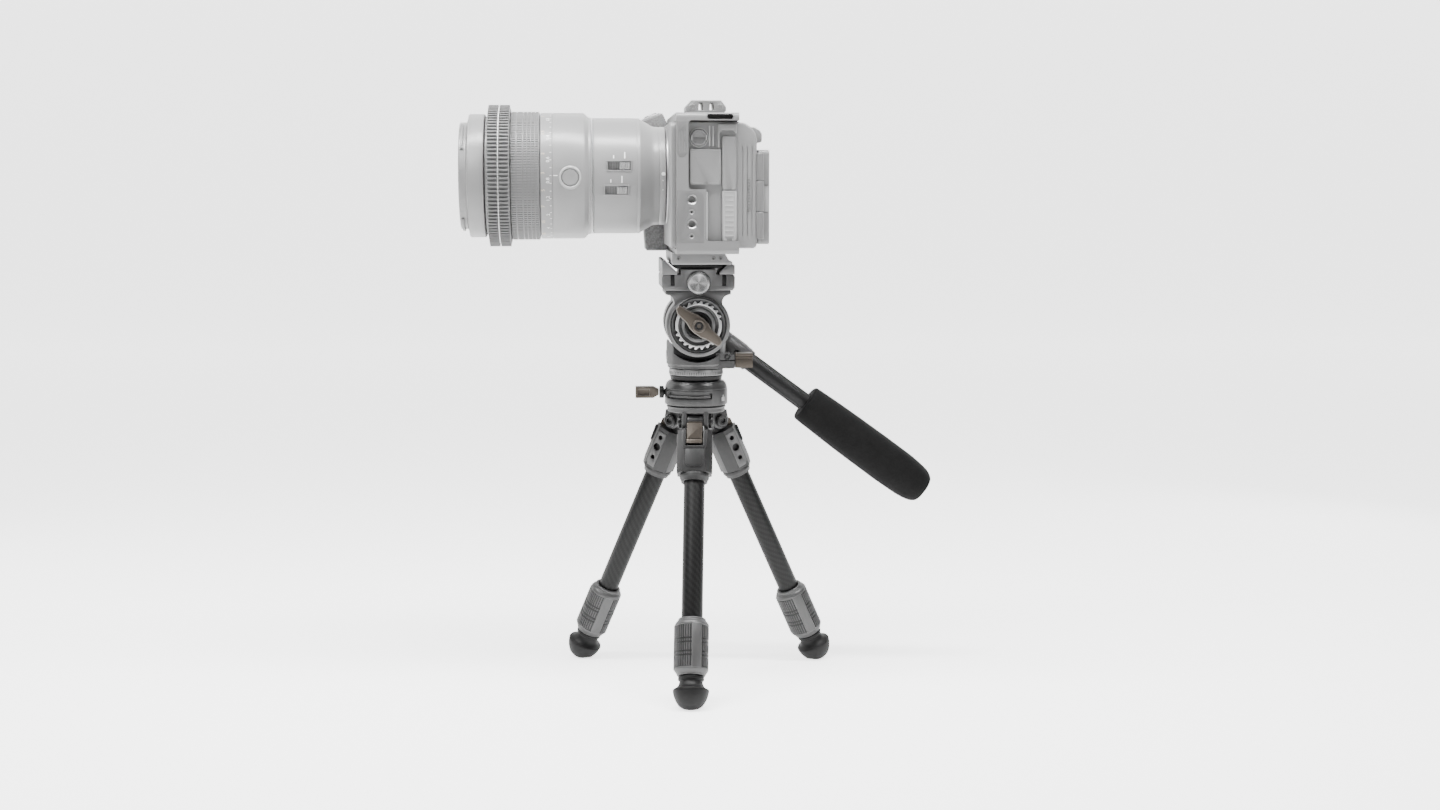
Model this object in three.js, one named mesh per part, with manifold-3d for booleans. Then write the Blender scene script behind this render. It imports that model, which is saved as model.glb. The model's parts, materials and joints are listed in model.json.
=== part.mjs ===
// A cine-style mirrorless camera in a cage, with a long macro lens, on a small table tripod
// with a fluid head. Millimetres, +Z up. X runs along the lens, whose front looks towards -X.
// The model is laid out round the tripod's upright axis with the floor at Z = 0, and is moved
// at the end so that the origin is the middle of the bounding box's bottom.

import * as THREE from 'three';
import { mergeVertices } from 'three/addons/utils/BufferGeometryUtils.js';
import Module from 'manifold-3d';

const wasm = await Module();
wasm.setup();

// ---------------------------------------------------------------- driving dimensions
const GAP = 0.3;                 // clearance between neighbouring pieces
const FINE = 32;                 // sides of the large turned pieces
const COARSE = 16;               // sides of the small turned pieces

const LEG_COUNT = 3;
const LEG_NAMES = ['front', 'right', 'left'];
const FIRST_LEG_AZIMUTH = -95.5; // degrees from +X
const LEG_SPLAY = 25.8;          // degrees from upright
const PIVOT_RADIUS = 13.5;       // from the tripod's axis to a leg's pivot
const PIVOT_HEIGHT = 165.3;
const LEG_LENGTH = 172.7;        // pivot to the centre of the foot's ball
const CHEEK_INNER = 5.4;         // the hub's two cheeks stand this far each side of a leg
const CHEEK_OUTER = 8.4;
const CHEEK_RADIUS = 5.6;
const TONGUE_HALF = 5.0;
const SHOULDER_END = 35;         // distances down the leg from its pivot
const COLLAR_END = 40;
const TUBE_RADIUS = 6.5;
const TUBE_START = 14;
const TUBE_END = 146;
const INNER_LEG_RADIUS = 4.9;
const INNER_LEG_START = 62;
const LOCK_START = 127.5;
const LOCK_END = 163;
const LOCK_RADIUS = 10.5;
const FOOT_RADIUS = 11.1;

const HUB_BOTTOM = 171;
const BOWL_BOTTOM = 175.3;
const BOWL_TOP = 191;
const BOWL_RADIUS = 20;
const BOWL_BORE = 14.2;
const SEAT_TOP = 194.5;
const PAN_BOTTOM = 199.3;
const PAN_RADIUS = 19;

const TILT_HEIGHT = 227.7;       // the tilt axis runs along Y at this height
const DRUM_RADIUS = 20;
const DRUM_HALF = 28;
const WEB_HALF = 8;              // the pan housing's middle web between the drum's halves
const WEB_RADIUS = 11.5;
const AXLE_RADIUS = 5;
const PLATFORM_TOP = 249.1;
const CLAMP_HALF_X = 22.8;
const BLOCK_HALF_X = 14.8;
const JAW_BOTTOM = 259.4;
const LEFT_JAW_TOP = 268.6;
const RIGHT_JAW_TOP = 265.6;
const PLATE_BOTTOM = 263;
const KNOB_HEIGHT = 254.3;

const HANDLE_DROP = 36.6;        // degrees below level
const HANDLE_Y = 16;
const NOSE_UP = 12;              // degrees that the camera can look up
const SOCKET_RADIUS = 8;
const SOCKET_END = 42;           // distances along the handle from the tilt axis
const GRIP_START = 89;
const GRIP_END = 187.5;
const ROD_RADIUS = 5.9;

const LENS_HEIGHT = 320.5;
const MOUNT_X = -19.4;           // lens mount plane
const LENS_LENGTH = 128;

const CAGE = { x0: -15.5, x1: 22.5, half: 66, z0: 266, z1: 358 };
const CAGE_WALL = 4.8;
const CAGE_FLOOR = 276;
const BODY = { x0: -15.0, x1: 33.7, half: 60.9, z0: 276.3, z1: 352.8 };
const SLOPE = 21;                // degrees that the handgrip's top leans forwards
const BUTTON_RADIUS = 4.6;
const RAIL = { x0: -8, x1: 17, y0: -32, y1: -8, z1: 366.6 };

// ---------------------------------------------------------------- solids
function signedVolume(position, index) {
  const a = new THREE.Vector3();
  const b = new THREE.Vector3();
  const c = new THREE.Vector3();
  let sum = 0;
  for (let i = 0; i < index.length; i += 3) {
    a.fromArray(position, 3 * index[i]);
    b.fromArray(position, 3 * index[i + 1]);
    c.fromArray(position, 3 * index[i + 2]);
    sum += a.dot(b.cross(c)) / 6;
  }
  return sum;
}

// A closed three.js geometry becomes a solid that can be cut and joined.
function solid(geometry) {
  geometry.deleteAttribute('normal');
  geometry.deleteAttribute('uv');
  const merged = mergeVertices(geometry, 1e-4);
  const vertProperties = new Float32Array(merged.attributes.position.array);
  const triVerts = new Uint32Array(merged.index.array);
  if (signedVolume(vertProperties, triVerts) < 0) {
    for (let i = 0; i < triVerts.length; i += 3) {
      [triVerts[i], triVerts[i + 1]] = [triVerts[i + 1], triVerts[i]];
    }
  }
  return new wasm.Manifold(new wasm.Mesh({ numProp: 3, vertProperties, triVerts }));
}

const rad = THREE.MathUtils.degToRad;

function box(x0, x1, y0, y1, z0, z1) {
  const geometry = new THREE.BoxGeometry(x1 - x0, y1 - y0, z1 - z0);
  return solid(geometry.translate((x0 + x1) / 2, (y0 + y1) / 2, (z0 + z1) / 2));
}

// A profile of [radius, height] points is turned about Z.
function turned(profile, sides = COARSE) {
  const points = profile.map(([r, z]) => new THREE.Vector2(r, z));
  return solid(new THREE.LatheGeometry(points, sides).rotateX(Math.PI / 2));
}

function tube(outer, inner, z0, z1, sides = COARSE) {
  const profile = [[inner, z0], [outer, z0], [outer, z1], [inner, z1], [inner, z0]];
  return turned(profile, sides);
}

function rod(radius, z0, z1, sides = COARSE) {
  return turned([[0, z0], [radius, z0], [radius, z1], [0, z1]], sides);
}

// An outline of [x, y] points is extruded up Z.
function prism(outline, z0, z1) {
  const shape = new THREE.Shape(outline.map(([x, y]) => new THREE.Vector2(x, y)));
  const geometry = new THREE.ExtrudeGeometry(shape, { depth: z1 - z0, bevelEnabled: false });
  return solid(geometry.translate(0, 0, z0));
}

// An outline of [x, z] points is extruded along Y.
function slab(outline, y0, y1) {
  return prism(outline, -y1, -y0).rotate([90, 0, 0]);
}

// A solid made about Z is laid along +Y or +X, so that its height becomes y or x.
const alongY = (made) => made.rotate([-90, 0, 0]);
const alongX = (made) => made.rotate([0, 90, 0]);

function joined(...parts) {
  return parts.reduce((whole, next) => whole.add(next));
}

function cut(whole, ...tools) {
  return tools.reduce((left, tool) => left.subtract(tool), whole);
}

// ---------------------------------------------------------------- meshes
const FINISH = {
  paleBody: { color: 0xaaaaaa, roughness: 0.55, metalness: 0.0 },
  paleLens: { color: 0xb2b2b4, roughness: 0.4, metalness: 0.0 },
  paleRubber: { color: 0xa6a6a6, roughness: 0.8, metalness: 0.0 },
  glass: { color: 0x5a6470, roughness: 0.05, metalness: 0.0 },
  grey: { color: 0x6c6c70, roughness: 0.45, metalness: 0.7 },
  darkGrey: { color: 0x4a4a4e, roughness: 0.5, metalness: 0.6 },
  silver: { color: 0xc0c0c2, roughness: 0.35, metalness: 0.9 },
  bronze: { color: 0x7d7069, roughness: 0.45, metalness: 0.6 },
  black: { color: 0x1e1e20, roughness: 0.5, metalness: 0.2 },
  carbon: { color: 0x35353a, roughness: 0.45, metalness: 0.1 },
  rubber: { color: 0x202022, roughness: 0.85, metalness: 0.0 },
};

function addPiece(parent, name, made, finish) {
  const { vertProperties, triVerts, numProp } = made.getMesh();
  const geometry = new THREE.BufferGeometry();
  const position = new THREE.BufferAttribute(new Float32Array(vertProperties), numProp);
  geometry.setAttribute('position', position);
  geometry.setIndex(new THREE.BufferAttribute(new Uint32Array(triVerts), 1));
  geometry.computeVertexNormals();
  const mesh = new THREE.Mesh(geometry, new THREE.MeshStandardMaterial(FINISH[finish]));
  mesh.name = name;
  parent.add(mesh);
  return mesh;
}

const tripod = new THREE.Group();

// ---------------------------------------------------------------- hub and bowl
function legAzimuth(index) {
  return FIRST_LEG_AZIMUTH + (360 / LEG_COUNT) * index;
}

// One cheek of the hub, in the frame of a leg's pivot.
function hubCheek(side) {
  const inner = side * CHEEK_INNER;
  const outer = side * CHEEK_OUTER;
  const y0 = Math.min(inner, outer);
  const y1 = Math.max(inner, outer);
  const eye = alongY(rod(CHEEK_RADIUS, y0, y1));
  const neck = box(-CHEEK_RADIUS, CHEEK_RADIUS, y0, y1, 0, HUB_BOTTOM - PIVOT_HEIGHT + 1);
  return joined(eye, neck);
}

function makeHub() {
  const ring = turned([[0, 171], [16.5, 171], [18.2, 172.6], [18.2, 175], [0, 175]], FINE);
  const stem = rod(4, 162, 172);
  const boltHole = alongY(rod(2.9, -CHEEK_OUTER - 1, CHEEK_OUTER + 1));
  const cheeks = cut(joined(hubCheek(-1), hubCheek(1)), boltHole);
  let hub = joined(ring, stem);
  for (let i = 0; i < LEG_COUNT; i += 1) {
    const placed = cheeks.translate([PIVOT_RADIUS, 0, PIVOT_HEIGHT]);
    hub = hub.add(placed.rotate([0, 0, legAzimuth(i)]));
  }
  return hub;
}

function makeBowl() {
  const wall = [
    [0, BOWL_BOTTOM], [18.9, BOWL_BOTTOM], [BOWL_RADIUS, 187], [18.6, 190],
    [17.4, BOWL_TOP], [BOWL_BORE, BOWL_TOP], [BOWL_BORE, 180], [0, 180],
  ];
  const slot = box(-11, 9, -BOWL_RADIUS - 1, -18.6, 180.2, 184.4);
  const knobHole = alongX(rod(2.5, -22, -13)).translate([0, 0, 183.6]);
  return cut(turned(wall, FINE), slot, knobHole);
}

function makeBowlKnob() {
  const stud = alongX(rod(2.2, -26, -14.6));
  const washer = alongX(rod(4, -23.6, -20.6));
  const wing = slab([[-38.9, 4.6], [-38.9, -2], [-31, -5], [-25, -5], [-23.9, -3], [-23.9, 4.6]], -4, 4);
  return joined(stud, washer, wing).translate([0, 0, 183.6]);
}

addPiece(tripod, 'leg_hub', makeHub(), 'grey');
addPiece(tripod, 'bowl_housing', makeBowl(), 'grey');
addPiece(tripod, 'bowl_lock_knob', makeBowlKnob(), 'bronze');

// ---------------------------------------------------------------- legs
// A leg is made hanging straight down from its pivot, with +X pointing outwards, and its
// group splays it.
const SHOULDER_SECTION = [
  [-9, -4.5], [-3, -10.8], [4.5, -10.8], [9, -6.8],
  [9, 6.8], [4.5, 10.8], [-3, 10.8], [-9, 4.5],
];

function makeShoulder() {
  const block = prism(SHOULDER_SECTION, -SHOULDER_END, -6.8);
  const eye = alongY(rod(5.2, -TONGUE_HALF, TONGUE_HALF));
  const tongue = joined(eye, box(-5.2, 4.4, -TONGUE_HALF, TONGUE_HALF, -9, 0));
  const swing = CHEEK_RADIUS + 0.6;
  const reach = 11;
  const clearLeft = alongY(rod(swing, -reach, -TONGUE_HALF));
  const clearRight = alongY(rod(swing, TONGUE_HALF, reach));
  const boltHole = alongY(rod(2.9, -6, 6));
  const tabSlot = box(4.5, 10, -5.5, 5.5, -18.5, 6);
  const collar = rod(8.8, -COLLAR_END, -SHOULDER_END + 1);
  const bore = rod(TUBE_RADIUS + GAP, -COLLAR_END - 1, -TUBE_START + GAP);
  const body = cut(block, clearLeft, clearRight);
  return cut(joined(body, tongue, collar), boltHole, tabSlot, bore);
}

function makeTab() {
  const plate = [
    [5, -1.8], [7.2, -1.8], [8.4, -4], [8.4, -13.5], [9.6, -14.5], [9.6, -17],
    [7.4, -17], [6.6, -14], [5, -13],
  ];
  return slab(plate, -4.9, 4.9);
}

function makePivotBolt() {
  const shaft = rod(2.6, -9, 9);
  const heads = joined(rod(4, -11.3, -CHEEK_OUTER - GAP), rod(4, CHEEK_OUTER + GAP, 11.3));
  return alongY(joined(shaft, heads));
}

function makeTwistLock() {
  const middle = (LOCK_START + LOCK_END) / 2;
  const shell = [
    [7, -LOCK_END], [8.6, -LOCK_END], [9.9, -LOCK_END + 3], [LOCK_RADIUS, -middle - 4],
    [LOCK_RADIUS, -middle + 6], [9.6, -LOCK_START - 2.4], [8.4, -LOCK_START],
    [TUBE_RADIUS + GAP, -LOCK_START], [TUBE_RADIUS + GAP, -TUBE_END - GAP],
    [INNER_LEG_RADIUS + GAP, -TUBE_END - GAP], [INNER_LEG_RADIUS + GAP, -LOCK_END],
    [7, -LOCK_END],
  ];
  return turned(shell);
}

function makeFoot() {
  const centre = -LEG_LENGTH;
  const top = -LOCK_END - GAP;
  const ball = [[0, centre - FOOT_RADIUS]];
  for (let angle = -67.5; angle <= 22.5; angle += 22.5) {
    ball.push([FOOT_RADIUS * Math.cos(rad(angle)), centre + FOOT_RADIUS * Math.sin(rad(angle))]);
  }
  ball.push([8.2, centre + 6.5], [6.6, top], [0, top]);
  const floor = box(0, 150, -60, 60, -PIVOT_HEIGHT - 40, -PIVOT_HEIGHT);
  const socket = rod(INNER_LEG_RADIUS + GAP, -LEG_LENGTH, top + 1);
  return cut(turned(ball), floor.rotate([0, LEG_SPLAY, 0]), socket);
}

function addLeg(index) {
  const side = LEG_NAMES[index];
  const turn = new THREE.Group();
  turn.rotation.z = rad(legAzimuth(index));
  const pivot = new THREE.Group();
  pivot.position.set(PIVOT_RADIUS, 0, PIVOT_HEIGHT);
  turn.add(pivot);
  const leg = new THREE.Group();
  leg.rotation.y = -rad(LEG_SPLAY);
  pivot.add(leg);
  const outerTube = tube(TUBE_RADIUS, INNER_LEG_RADIUS + GAP, -TUBE_END, -TUBE_START);
  const innerRod = rod(INNER_LEG_RADIUS, -LEG_LENGTH + GAP, -INNER_LEG_START, 16);
  addPiece(pivot, `pivot_bolt_${side}`, makePivotBolt(), 'black');
  addPiece(leg, `leg_shoulder_${side}`, makeShoulder(), 'grey');
  addPiece(leg, `angle_lock_tab_${side}`, makeTab(), 'bronze');
  addPiece(leg, `leg_tube_${side}`, outerTube, 'carbon');
  addPiece(leg, `twist_lock_${side}`, makeTwistLock(), 'grey');
  addPiece(leg, `inner_leg_${side}`, innerRod, 'carbon');
  addPiece(leg, `foot_${side}`, makeFoot(), 'rubber');
  tripod.add(turn);
}

for (let i = 0; i < LEG_COUNT; i += 1) {
  addLeg(i);
}

// ---------------------------------------------------------------- pan part of the head
function makeHeadBase() {
  const stem = BOWL_BORE - GAP;
  return turned([
    [0, 180.3], [stem - 2, 180.3], [stem, 183], [stem, 191.4], [17, SEAT_TOP],
    [9.7, SEAT_TOP], [9.7, 203], [0, 203],
  ], FINE);
}

function makePanHousing() {
  const cup = rod(PAN_RADIUS, PAN_BOTTOM, 217, FINE);
  const saddle = alongY(rod(DRUM_RADIUS + 0.6, -30, 30, FINE)).translate([0, 0, TILT_HEIGHT]);
  const web = box(-WEB_RADIUS + 3, WEB_RADIUS - 3, -WEB_HALF, WEB_HALF, 204, TILT_HEIGHT);
  const eye = alongY(rod(WEB_RADIUS, -WEB_HALF, WEB_HALF)).translate([0, 0, TILT_HEIGHT]);
  const lug = joined(box(12, 21, -12, 0, PAN_BOTTOM, 209), box(14, 24, -11, -1, PAN_BOTTOM, 207.5));
  const clearLug = alongY(rod(DRUM_RADIUS + 0.6, -30, 30, FINE)).translate([0, 0, TILT_HEIGHT]);
  const pivotBore = rod(10, PAN_BOTTOM - 1, 203.3);
  const axleBore = alongY(rod(AXLE_RADIUS + GAP, -20, 20)).translate([0, 0, TILT_HEIGHT]);
  const screwBore = alongX(rod(2.3, 15, 30)).translate([0, -6, 204.2]);
  const shell = joined(cut(cup, saddle), web, eye, cut(lug, clearLug));
  return cut(shell, pivotBore, axleBore, screwBore, socketSweep());
}

// The room that the handle's socket needs as the camera tilts.
function socketSweep() {
  let sweep = box(2, 30, HANDLE_Y - SOCKET_RADIUS - 0.7, 30, 211, 220);
  for (let turn = HANDLE_DROP - 9; turn <= HANDLE_DROP + NOSE_UP + 1; turn += 4) {
    const swept = alongX(rod(SOCKET_RADIUS + 0.8, 15, 60)).rotate([0, turn, 0]);
    sweep = sweep.add(swept.translate([0, HANDLE_Y, TILT_HEIGHT]));
  }
  return sweep;
}

function makePanKnob() {
  const stud = alongX(rod(2, 16, 26));
  const block = box(24.5, 35.5, -4.6, 4.6, -4.6, 4.6);
  return joined(stud, block).translate([0, -6, 204.2]);
}

function makeTiltAxle() {
  const shaft = rod(AXLE_RADIUS, -23.2, 27);
  const screw = rod(2.4, -29.4, -23);
  return alongY(joined(shaft, screw)).translate([0, 0, TILT_HEIGHT]);
}

addPiece(tripod, 'head_base', makeHeadBase(), 'black');
addPiece(tripod, 'pan_scale_ring', tube(17.3, 10, SEAT_TOP + GAP, PAN_BOTTOM - GAP, FINE), 'silver');
addPiece(tripod, 'pan_housing', makePanHousing(), 'darkGrey');
addPiece(tripod, 'pan_lock_knob', makePanKnob(), 'bronze');
addPiece(tripod, 'tilt_axle', makeTiltAxle(), 'silver');

// ---------------------------------------------------------------- tilt part of the head
// Everything here is drawn with the tilt axis as the origin.
const tilt = new THREE.Group();
tilt.position.z = TILT_HEIGHT;
tripod.add(tilt);

const CLAMP_FLOOR = PLATFORM_TOP - TILT_HEIGHT;
const knobRise = KNOB_HEIGHT - TILT_HEIGHT;

function knobPocket(bore) {
  const wide = rod(7.4, -DRUM_HALF - 2, -DRUM_HALF + 3.8);
  const narrow = rod(bore, -DRUM_HALF, -8);
  return alongY(joined(wide, narrow)).translate([0, 0, knobRise]);
}

function makeTiltPlatform() {
  const drum = alongY(rod(DRUM_RADIUS, -DRUM_HALF, DRUM_HALF, FINE));
  const neckOutline = [
    [-15, 8], [15, 8], [15, 15.5], [16.6, 17.8], [20.5, CLAMP_FLOOR],
    [-20.5, CLAMP_FLOOR], [-16.6, 17.8], [-15, 15.5],
  ];
  const neck = slab(neckOutline, -26, 26);
  const webSlot = box(-26, 26, -WEB_HALF - GAP, WEB_HALF + GAP, -26, 14);
  const axleBore = alongY(rod(AXLE_RADIUS + GAP, -30, 27.3));
  const dish = alongY(rod(16.2, -30, -24));
  const socketSeat = alongX(rod(9, 17.2, 30)).rotate([0, HANDLE_DROP, 0]).translate([0, HANDLE_Y, 0]);
  return cut(joined(drum, neck), webSlot, axleBore, dish, socketSeat, knobPocket(3.5));
}

function toothedRing(inner, root, tip, teeth, slant, y0, y1) {
  const outline = [];
  for (let i = 0; i < teeth; i += 1) {
    const start = (i / teeth) * 2 * Math.PI;
    const step = (2 * Math.PI) / teeth;
    outline.push([root * Math.cos(start), root * Math.sin(start)]);
    const rise = start + step * slant;
    outline.push([tip * Math.cos(rise), tip * Math.sin(rise)]);
    const fall = start + step * 0.9;
    outline.push([root * Math.cos(fall), root * Math.sin(fall)]);
  }
  const outer = prism(outline, y0, y1);
  return alongY(cut(outer, rod(inner, y0 - 1, y1 + 1)));
}

function makeTiltLever() {
  const half = [[16.4, 2.6], [18, 0.6], [18, -2], [8, -4.4], [3.4, -4.6], [-3.4, -4.6]];
  const outline = [...half, ...half.map(([x, z]) => [-x, -z])];
  const blade = slab(outline, -33.4, -30.4).rotate([0, 38, 0]);
  const hub = alongY(rod(4.4, -34.2, -25.4));
  const screwHole = alongY(rod(2.7, -29.7, -25));
  return cut(joined(blade, hub), screwHole);
}

function makeClampBase() {
  const floor = box(-CLAMP_HALF_X, CLAMP_HALF_X, -DRUM_HALF, DRUM_HALF, CLAMP_FLOOR + GAP, 24);
  const rise = JAW_BOTTOM - GAP - TILT_HEIGHT;
  const ears = joined(
    box(-CLAMP_HALF_X, -17.4, -DRUM_HALF, DRUM_HALF, 23, rise),
    box(17.4, CLAMP_HALF_X, -DRUM_HALF, DRUM_HALF, 23, rise),
  );
  const block = box(-BLOCK_HALF_X, BLOCK_HALF_X, -DRUM_HALF, DRUM_HALF, 23, rise);
  const top = box(-11, 11, -DRUM_HALF, DRUM_HALF, 23, PLATE_BOTTOM - GAP - TILT_HEIGHT);
  return cut(joined(floor, ears, block, top), knobPocket(3.5));
}

// The slanting face rises one for one from the jaw's nose to its top.
const JAW_NOSE = { x: 13, z: 260.6 };

function makeJaw(side, top) {
  const lean = JAW_NOSE.x + top - JAW_NOSE.z;
  const outline = [
    [CLAMP_HALF_X, JAW_BOTTOM], [CLAMP_HALF_X, top], [lean, top],
    [JAW_NOSE.x, JAW_NOSE.z], [JAW_NOSE.x, JAW_BOTTOM],
  ];
  return slab(outline.map(([x, z]) => [side * x, z - TILT_HEIGHT]), -DRUM_HALF, DRUM_HALF);
}

function makeClampKnob() {
  const button = rod(7, -30.6, -DRUM_HALF + 0.4);
  const stem = rod(3, -DRUM_HALF, -12);
  return alongY(joined(button, stem)).translate([0, 0, knobRise]);
}

addPiece(tilt, 'tilt_platform', makeTiltPlatform(), 'grey');
addPiece(tilt, 'ratchet_ring', toothedRing(12.7, 13.7, 15.3, 20, 0.15, -27.6, -24.3), 'silver');
addPiece(tilt, 'tilt_lever', makeTiltLever(), 'bronze');
addPiece(tilt, 'clamp_base', makeClampBase(), 'grey');
addPiece(tilt, 'clamp_jaw_left', makeJaw(-1, LEFT_JAW_TOP), 'grey');
addPiece(tilt, 'clamp_jaw_right', makeJaw(1, RIGHT_JAW_TOP), 'grey');
addPiece(tilt, 'clamp_knob', makeClampKnob(), 'silver');

// The handle points away from the tilt axis, so its group's +X runs down the rod.
const handle = new THREE.Group();
handle.position.y = HANDLE_Y;
handle.rotation.y = rad(HANDLE_DROP);
tilt.add(handle);

function makeSocket() {
  const outside = turned([
    [0, 17.6], [SOCKET_RADIUS, 17.6], [SOCKET_RADIUS, 37], [7.2, SOCKET_END], [0, SOCKET_END],
  ]);
  return alongX(cut(outside, rod(ROD_RADIUS + GAP, 22, SOCKET_END + 1)));
}

function makeGrip() {
  const profile = [
    [ROD_RADIUS + GAP, GRIP_START], [11.6, GRIP_START], [12.4, GRIP_START + 1.5],
    [13.6, GRIP_START + 45], [13.7, GRIP_START + 70], [12.6, GRIP_END - 8],
    [9, GRIP_END - 1.5], [6, GRIP_END], [0, GRIP_END], [0, GRIP_END - 9],
    [ROD_RADIUS + GAP, GRIP_END - 9], [ROD_RADIUS + GAP, GRIP_START],
  ];
  return alongX(turned(profile));
}

addPiece(handle, 'handle_socket', makeSocket(), 'grey');
addPiece(handle, 'handle_rod', alongX(rod(ROD_RADIUS, 22 + GAP, GRIP_END - 9 - GAP)), 'black');
addPiece(handle, 'handle_grip', makeGrip(), 'rubber');

// ---------------------------------------------------------------- camera and cage
const camera = new THREE.Group();
tripod.add(camera);

function makeCameraPlate() {
  return slab([[-14.7, PLATE_BOTTOM], [14.7, PLATE_BOTTOM], [17.4, 265.7], [-17.4, 265.7]], -25, 25);
}

function makeCage() {
  const { x0, x1, half, z0, z1 } = CAGE;
  const frame = box(x0, x1, -half, half, CAGE_FLOOR - 3, z1);
  const foot = slab([[-17, z0], [20.5, z0], [19, 268], [19, 273.2], [-17.6, 273.2]], -40, 40);
  const chest = box(x0 - 1, x1 + 1, -half + CAGE_WALL, half - CAGE_WALL, CAGE_FLOOR, z1 - CAGE_WALL);
  const near = -half - 1;
  const sideWindow = box(2.4, x1 + 1, near, -half + 8, 281, z1 - CAGE_WALL);
  const portWindow = box(-8.2, x1 + 1, near, -half + 8, 311.5, z1 - CAGE_WALL);
  const gripWindow = box(x0 - 1, x1 + 1, half - 8, half + 1, CAGE_FLOOR, 340);
  const slot = box(2, 19.5, -90, 90, 354.6, 356.8);
  const hole = alongY(rod(2.9, near, -half + 8, 16));
  const holes = joined(hole.translate([-5.5, 0, 305]), hole.translate([-5.5, 0, 291.5]));
  const whole = cut(joined(frame, foot), chest, sideWindow, portWindow, gripWindow);
  return cut(whole, slot.translate([0, -30 - half + 7, 0]), holes);
}

function makeRail() {
  const { x0, x1, y0, y1, z1 } = RAIL;
  const base = CAGE.z1 + GAP;
  const outline = [
    [x0 + 3, base], [x1 - 3, base], [x1, base + 4], [x1 - 3, z1], [x0 + 3, z1], [x0, base + 4],
  ];
  const windows = joined(
    box(-0.5, 2.5, y0 - 1, y1 + 1, base + 3, z1 - 1.6),
    box(5.5, 8.5, y0 - 1, y1 + 1, base + 3, z1 - 1.6),
  );
  return cut(slab(outline, y0, y1), windows);
}

function makeBody() {
  const { x0, x1, half, z0, z1 } = BODY;
  const outline = [[x0, z0], [x1 - 2, z0], [x1, z0 + 2], [x1, 343], [x1 - 3, 350.5], [x1 - 9, z1], [x0, z1]];
  const shell = slab(outline, -half, half);
  const bump = slab([[28, 340], [37.8, 340], [37.8, 346.5], [34, 350], [28, 350]], -48, 20);
  const hollow = box(x0 + 2.6, x1 - 2.6, -half + 2.6, half - 2.6, z0 + 2.6, z1 - 3.4);
  const mount = alongX(rod(23, x0 - 5, x0 + 5, FINE)).translate([0, 0, LENS_HEIGHT]);
  const doors = box(-7.4, 21.6, -half - 1, -half + 1.2, 280.4, 344.4);
  const screenBay = box(x1 - 1.5, x1 + 2, -half - 1, 34, 277.9, 338);
  return cut(joined(shell, bump), hollow, mount, doors, screenBay);
}

function makeHandgrip() {
  const outline = [
    [-30.5, 272], [-16, 272], [-16, 354], [-19.5, 362], [-32.5, 357], [-33.5, 350], [-31, 290],
  ];
  const well = shutterRod(BUTTON_RADIUS + GAP, -2.2, 6);
  return cut(slab(outline, 40.5, 64), well);
}

// The shutter button stands on the grip's sloping top, square to it.
function shutterRod(radius, low, high) {
  const upright = rod(radius, low, high);
  return upright.rotate([0, -SLOPE, 0]).translate([-26.6, 50, 359.3]);
}

function makeLensRear() {
  const profile = [
    [27, 0.4], [30.7, 0.4], [30.7, 7], [32.4, 11], [36.1, 16.6], [36.1, 46], [27, 46], [27, 0.4],
  ];
  return turned(profile, FINE);
}

function makeLensFront() {
  const profile = [
    [29, 46.4], [36.6, 46.4], [36.6, 48.6], [39.3, 51], [39.3, 78], [37, 78], [37, 111.8],
    [29, 111.8], [29, 46.4],
  ];
  return turned(profile, FINE);
}

function makeFilterRing() {
  const profile = [
    [29.5, 112.2], [38.5, 112.2], [38.5, 122.6], [33.2, 123.4], [33.2, 128], [31.4, 128],
    [31.4, 119], [29.5, 119], [29.5, 112.2],
  ];
  return turned(profile, FINE);
}

function makeFrontElement() {
  return turned([[0, 112.5], [29.1, 112.5], [29.1, 114.5], [20, 117], [10, 118.4], [0, 118.8]]);
}

function makeGearRing() {
  const teeth = 48;
  const outline = [];
  for (let i = 0; i < teeth; i += 1) {
    for (const [share, radius] of [[0, 42], [0.1, 44.1], [0.5, 44.1], [0.6, 42]]) {
      const angle = ((i + share) / teeth) * 2 * Math.PI;
      outline.push([radius * Math.cos(angle), radius * Math.sin(angle)]);
    }
  }
  return cut(prism(outline, 96.5, 110.4), rod(37.3, 90, 120, FINE));
}

// The lens is turned about Z and then laid down, so that its front looks towards -X.
const lens = new THREE.Group();
lens.position.set(MOUNT_X, 0, LENS_HEIGHT);
lens.rotation.y = -Math.PI / 2;
camera.add(lens);

// Controls on the lens's near side. Up on the camera is +X in the lens's own frame, and the
// near side is -Y.
const HOLD = { along: 59.6, rise: -1.2, boss: 6.9, radius: 5.1 };
const SWITCHES = [
  { name: 'range_switch', along: 29.6, rise: 6 },
  { name: 'stabiliser_switch', along: 31.4, rise: -9 },
];

function holdPocket() {
  const pocket = rod(HOLD.radius + GAP, 36.6, 42);
  return pocket.rotate([90, 0, 0]).translate([HOLD.rise, 0, HOLD.along]);
}

function makeHoldButton() {
  const button = rod(HOLD.radius, 37.9, 39.6);
  return button.rotate([90, 0, 0]).translate([HOLD.rise, 0, HOLD.along]);
}

function switchPocket({ along, rise }) {
  return box(rise - 2.6, rise + 2.6, -38, -33.6, along - 7, along + 7);
}

function makeSwitch({ along, rise }) {
  return box(rise - 2.2, rise + 2.2, -36.6, -34.0, along - 6.6, along - 0.4);
}

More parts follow.
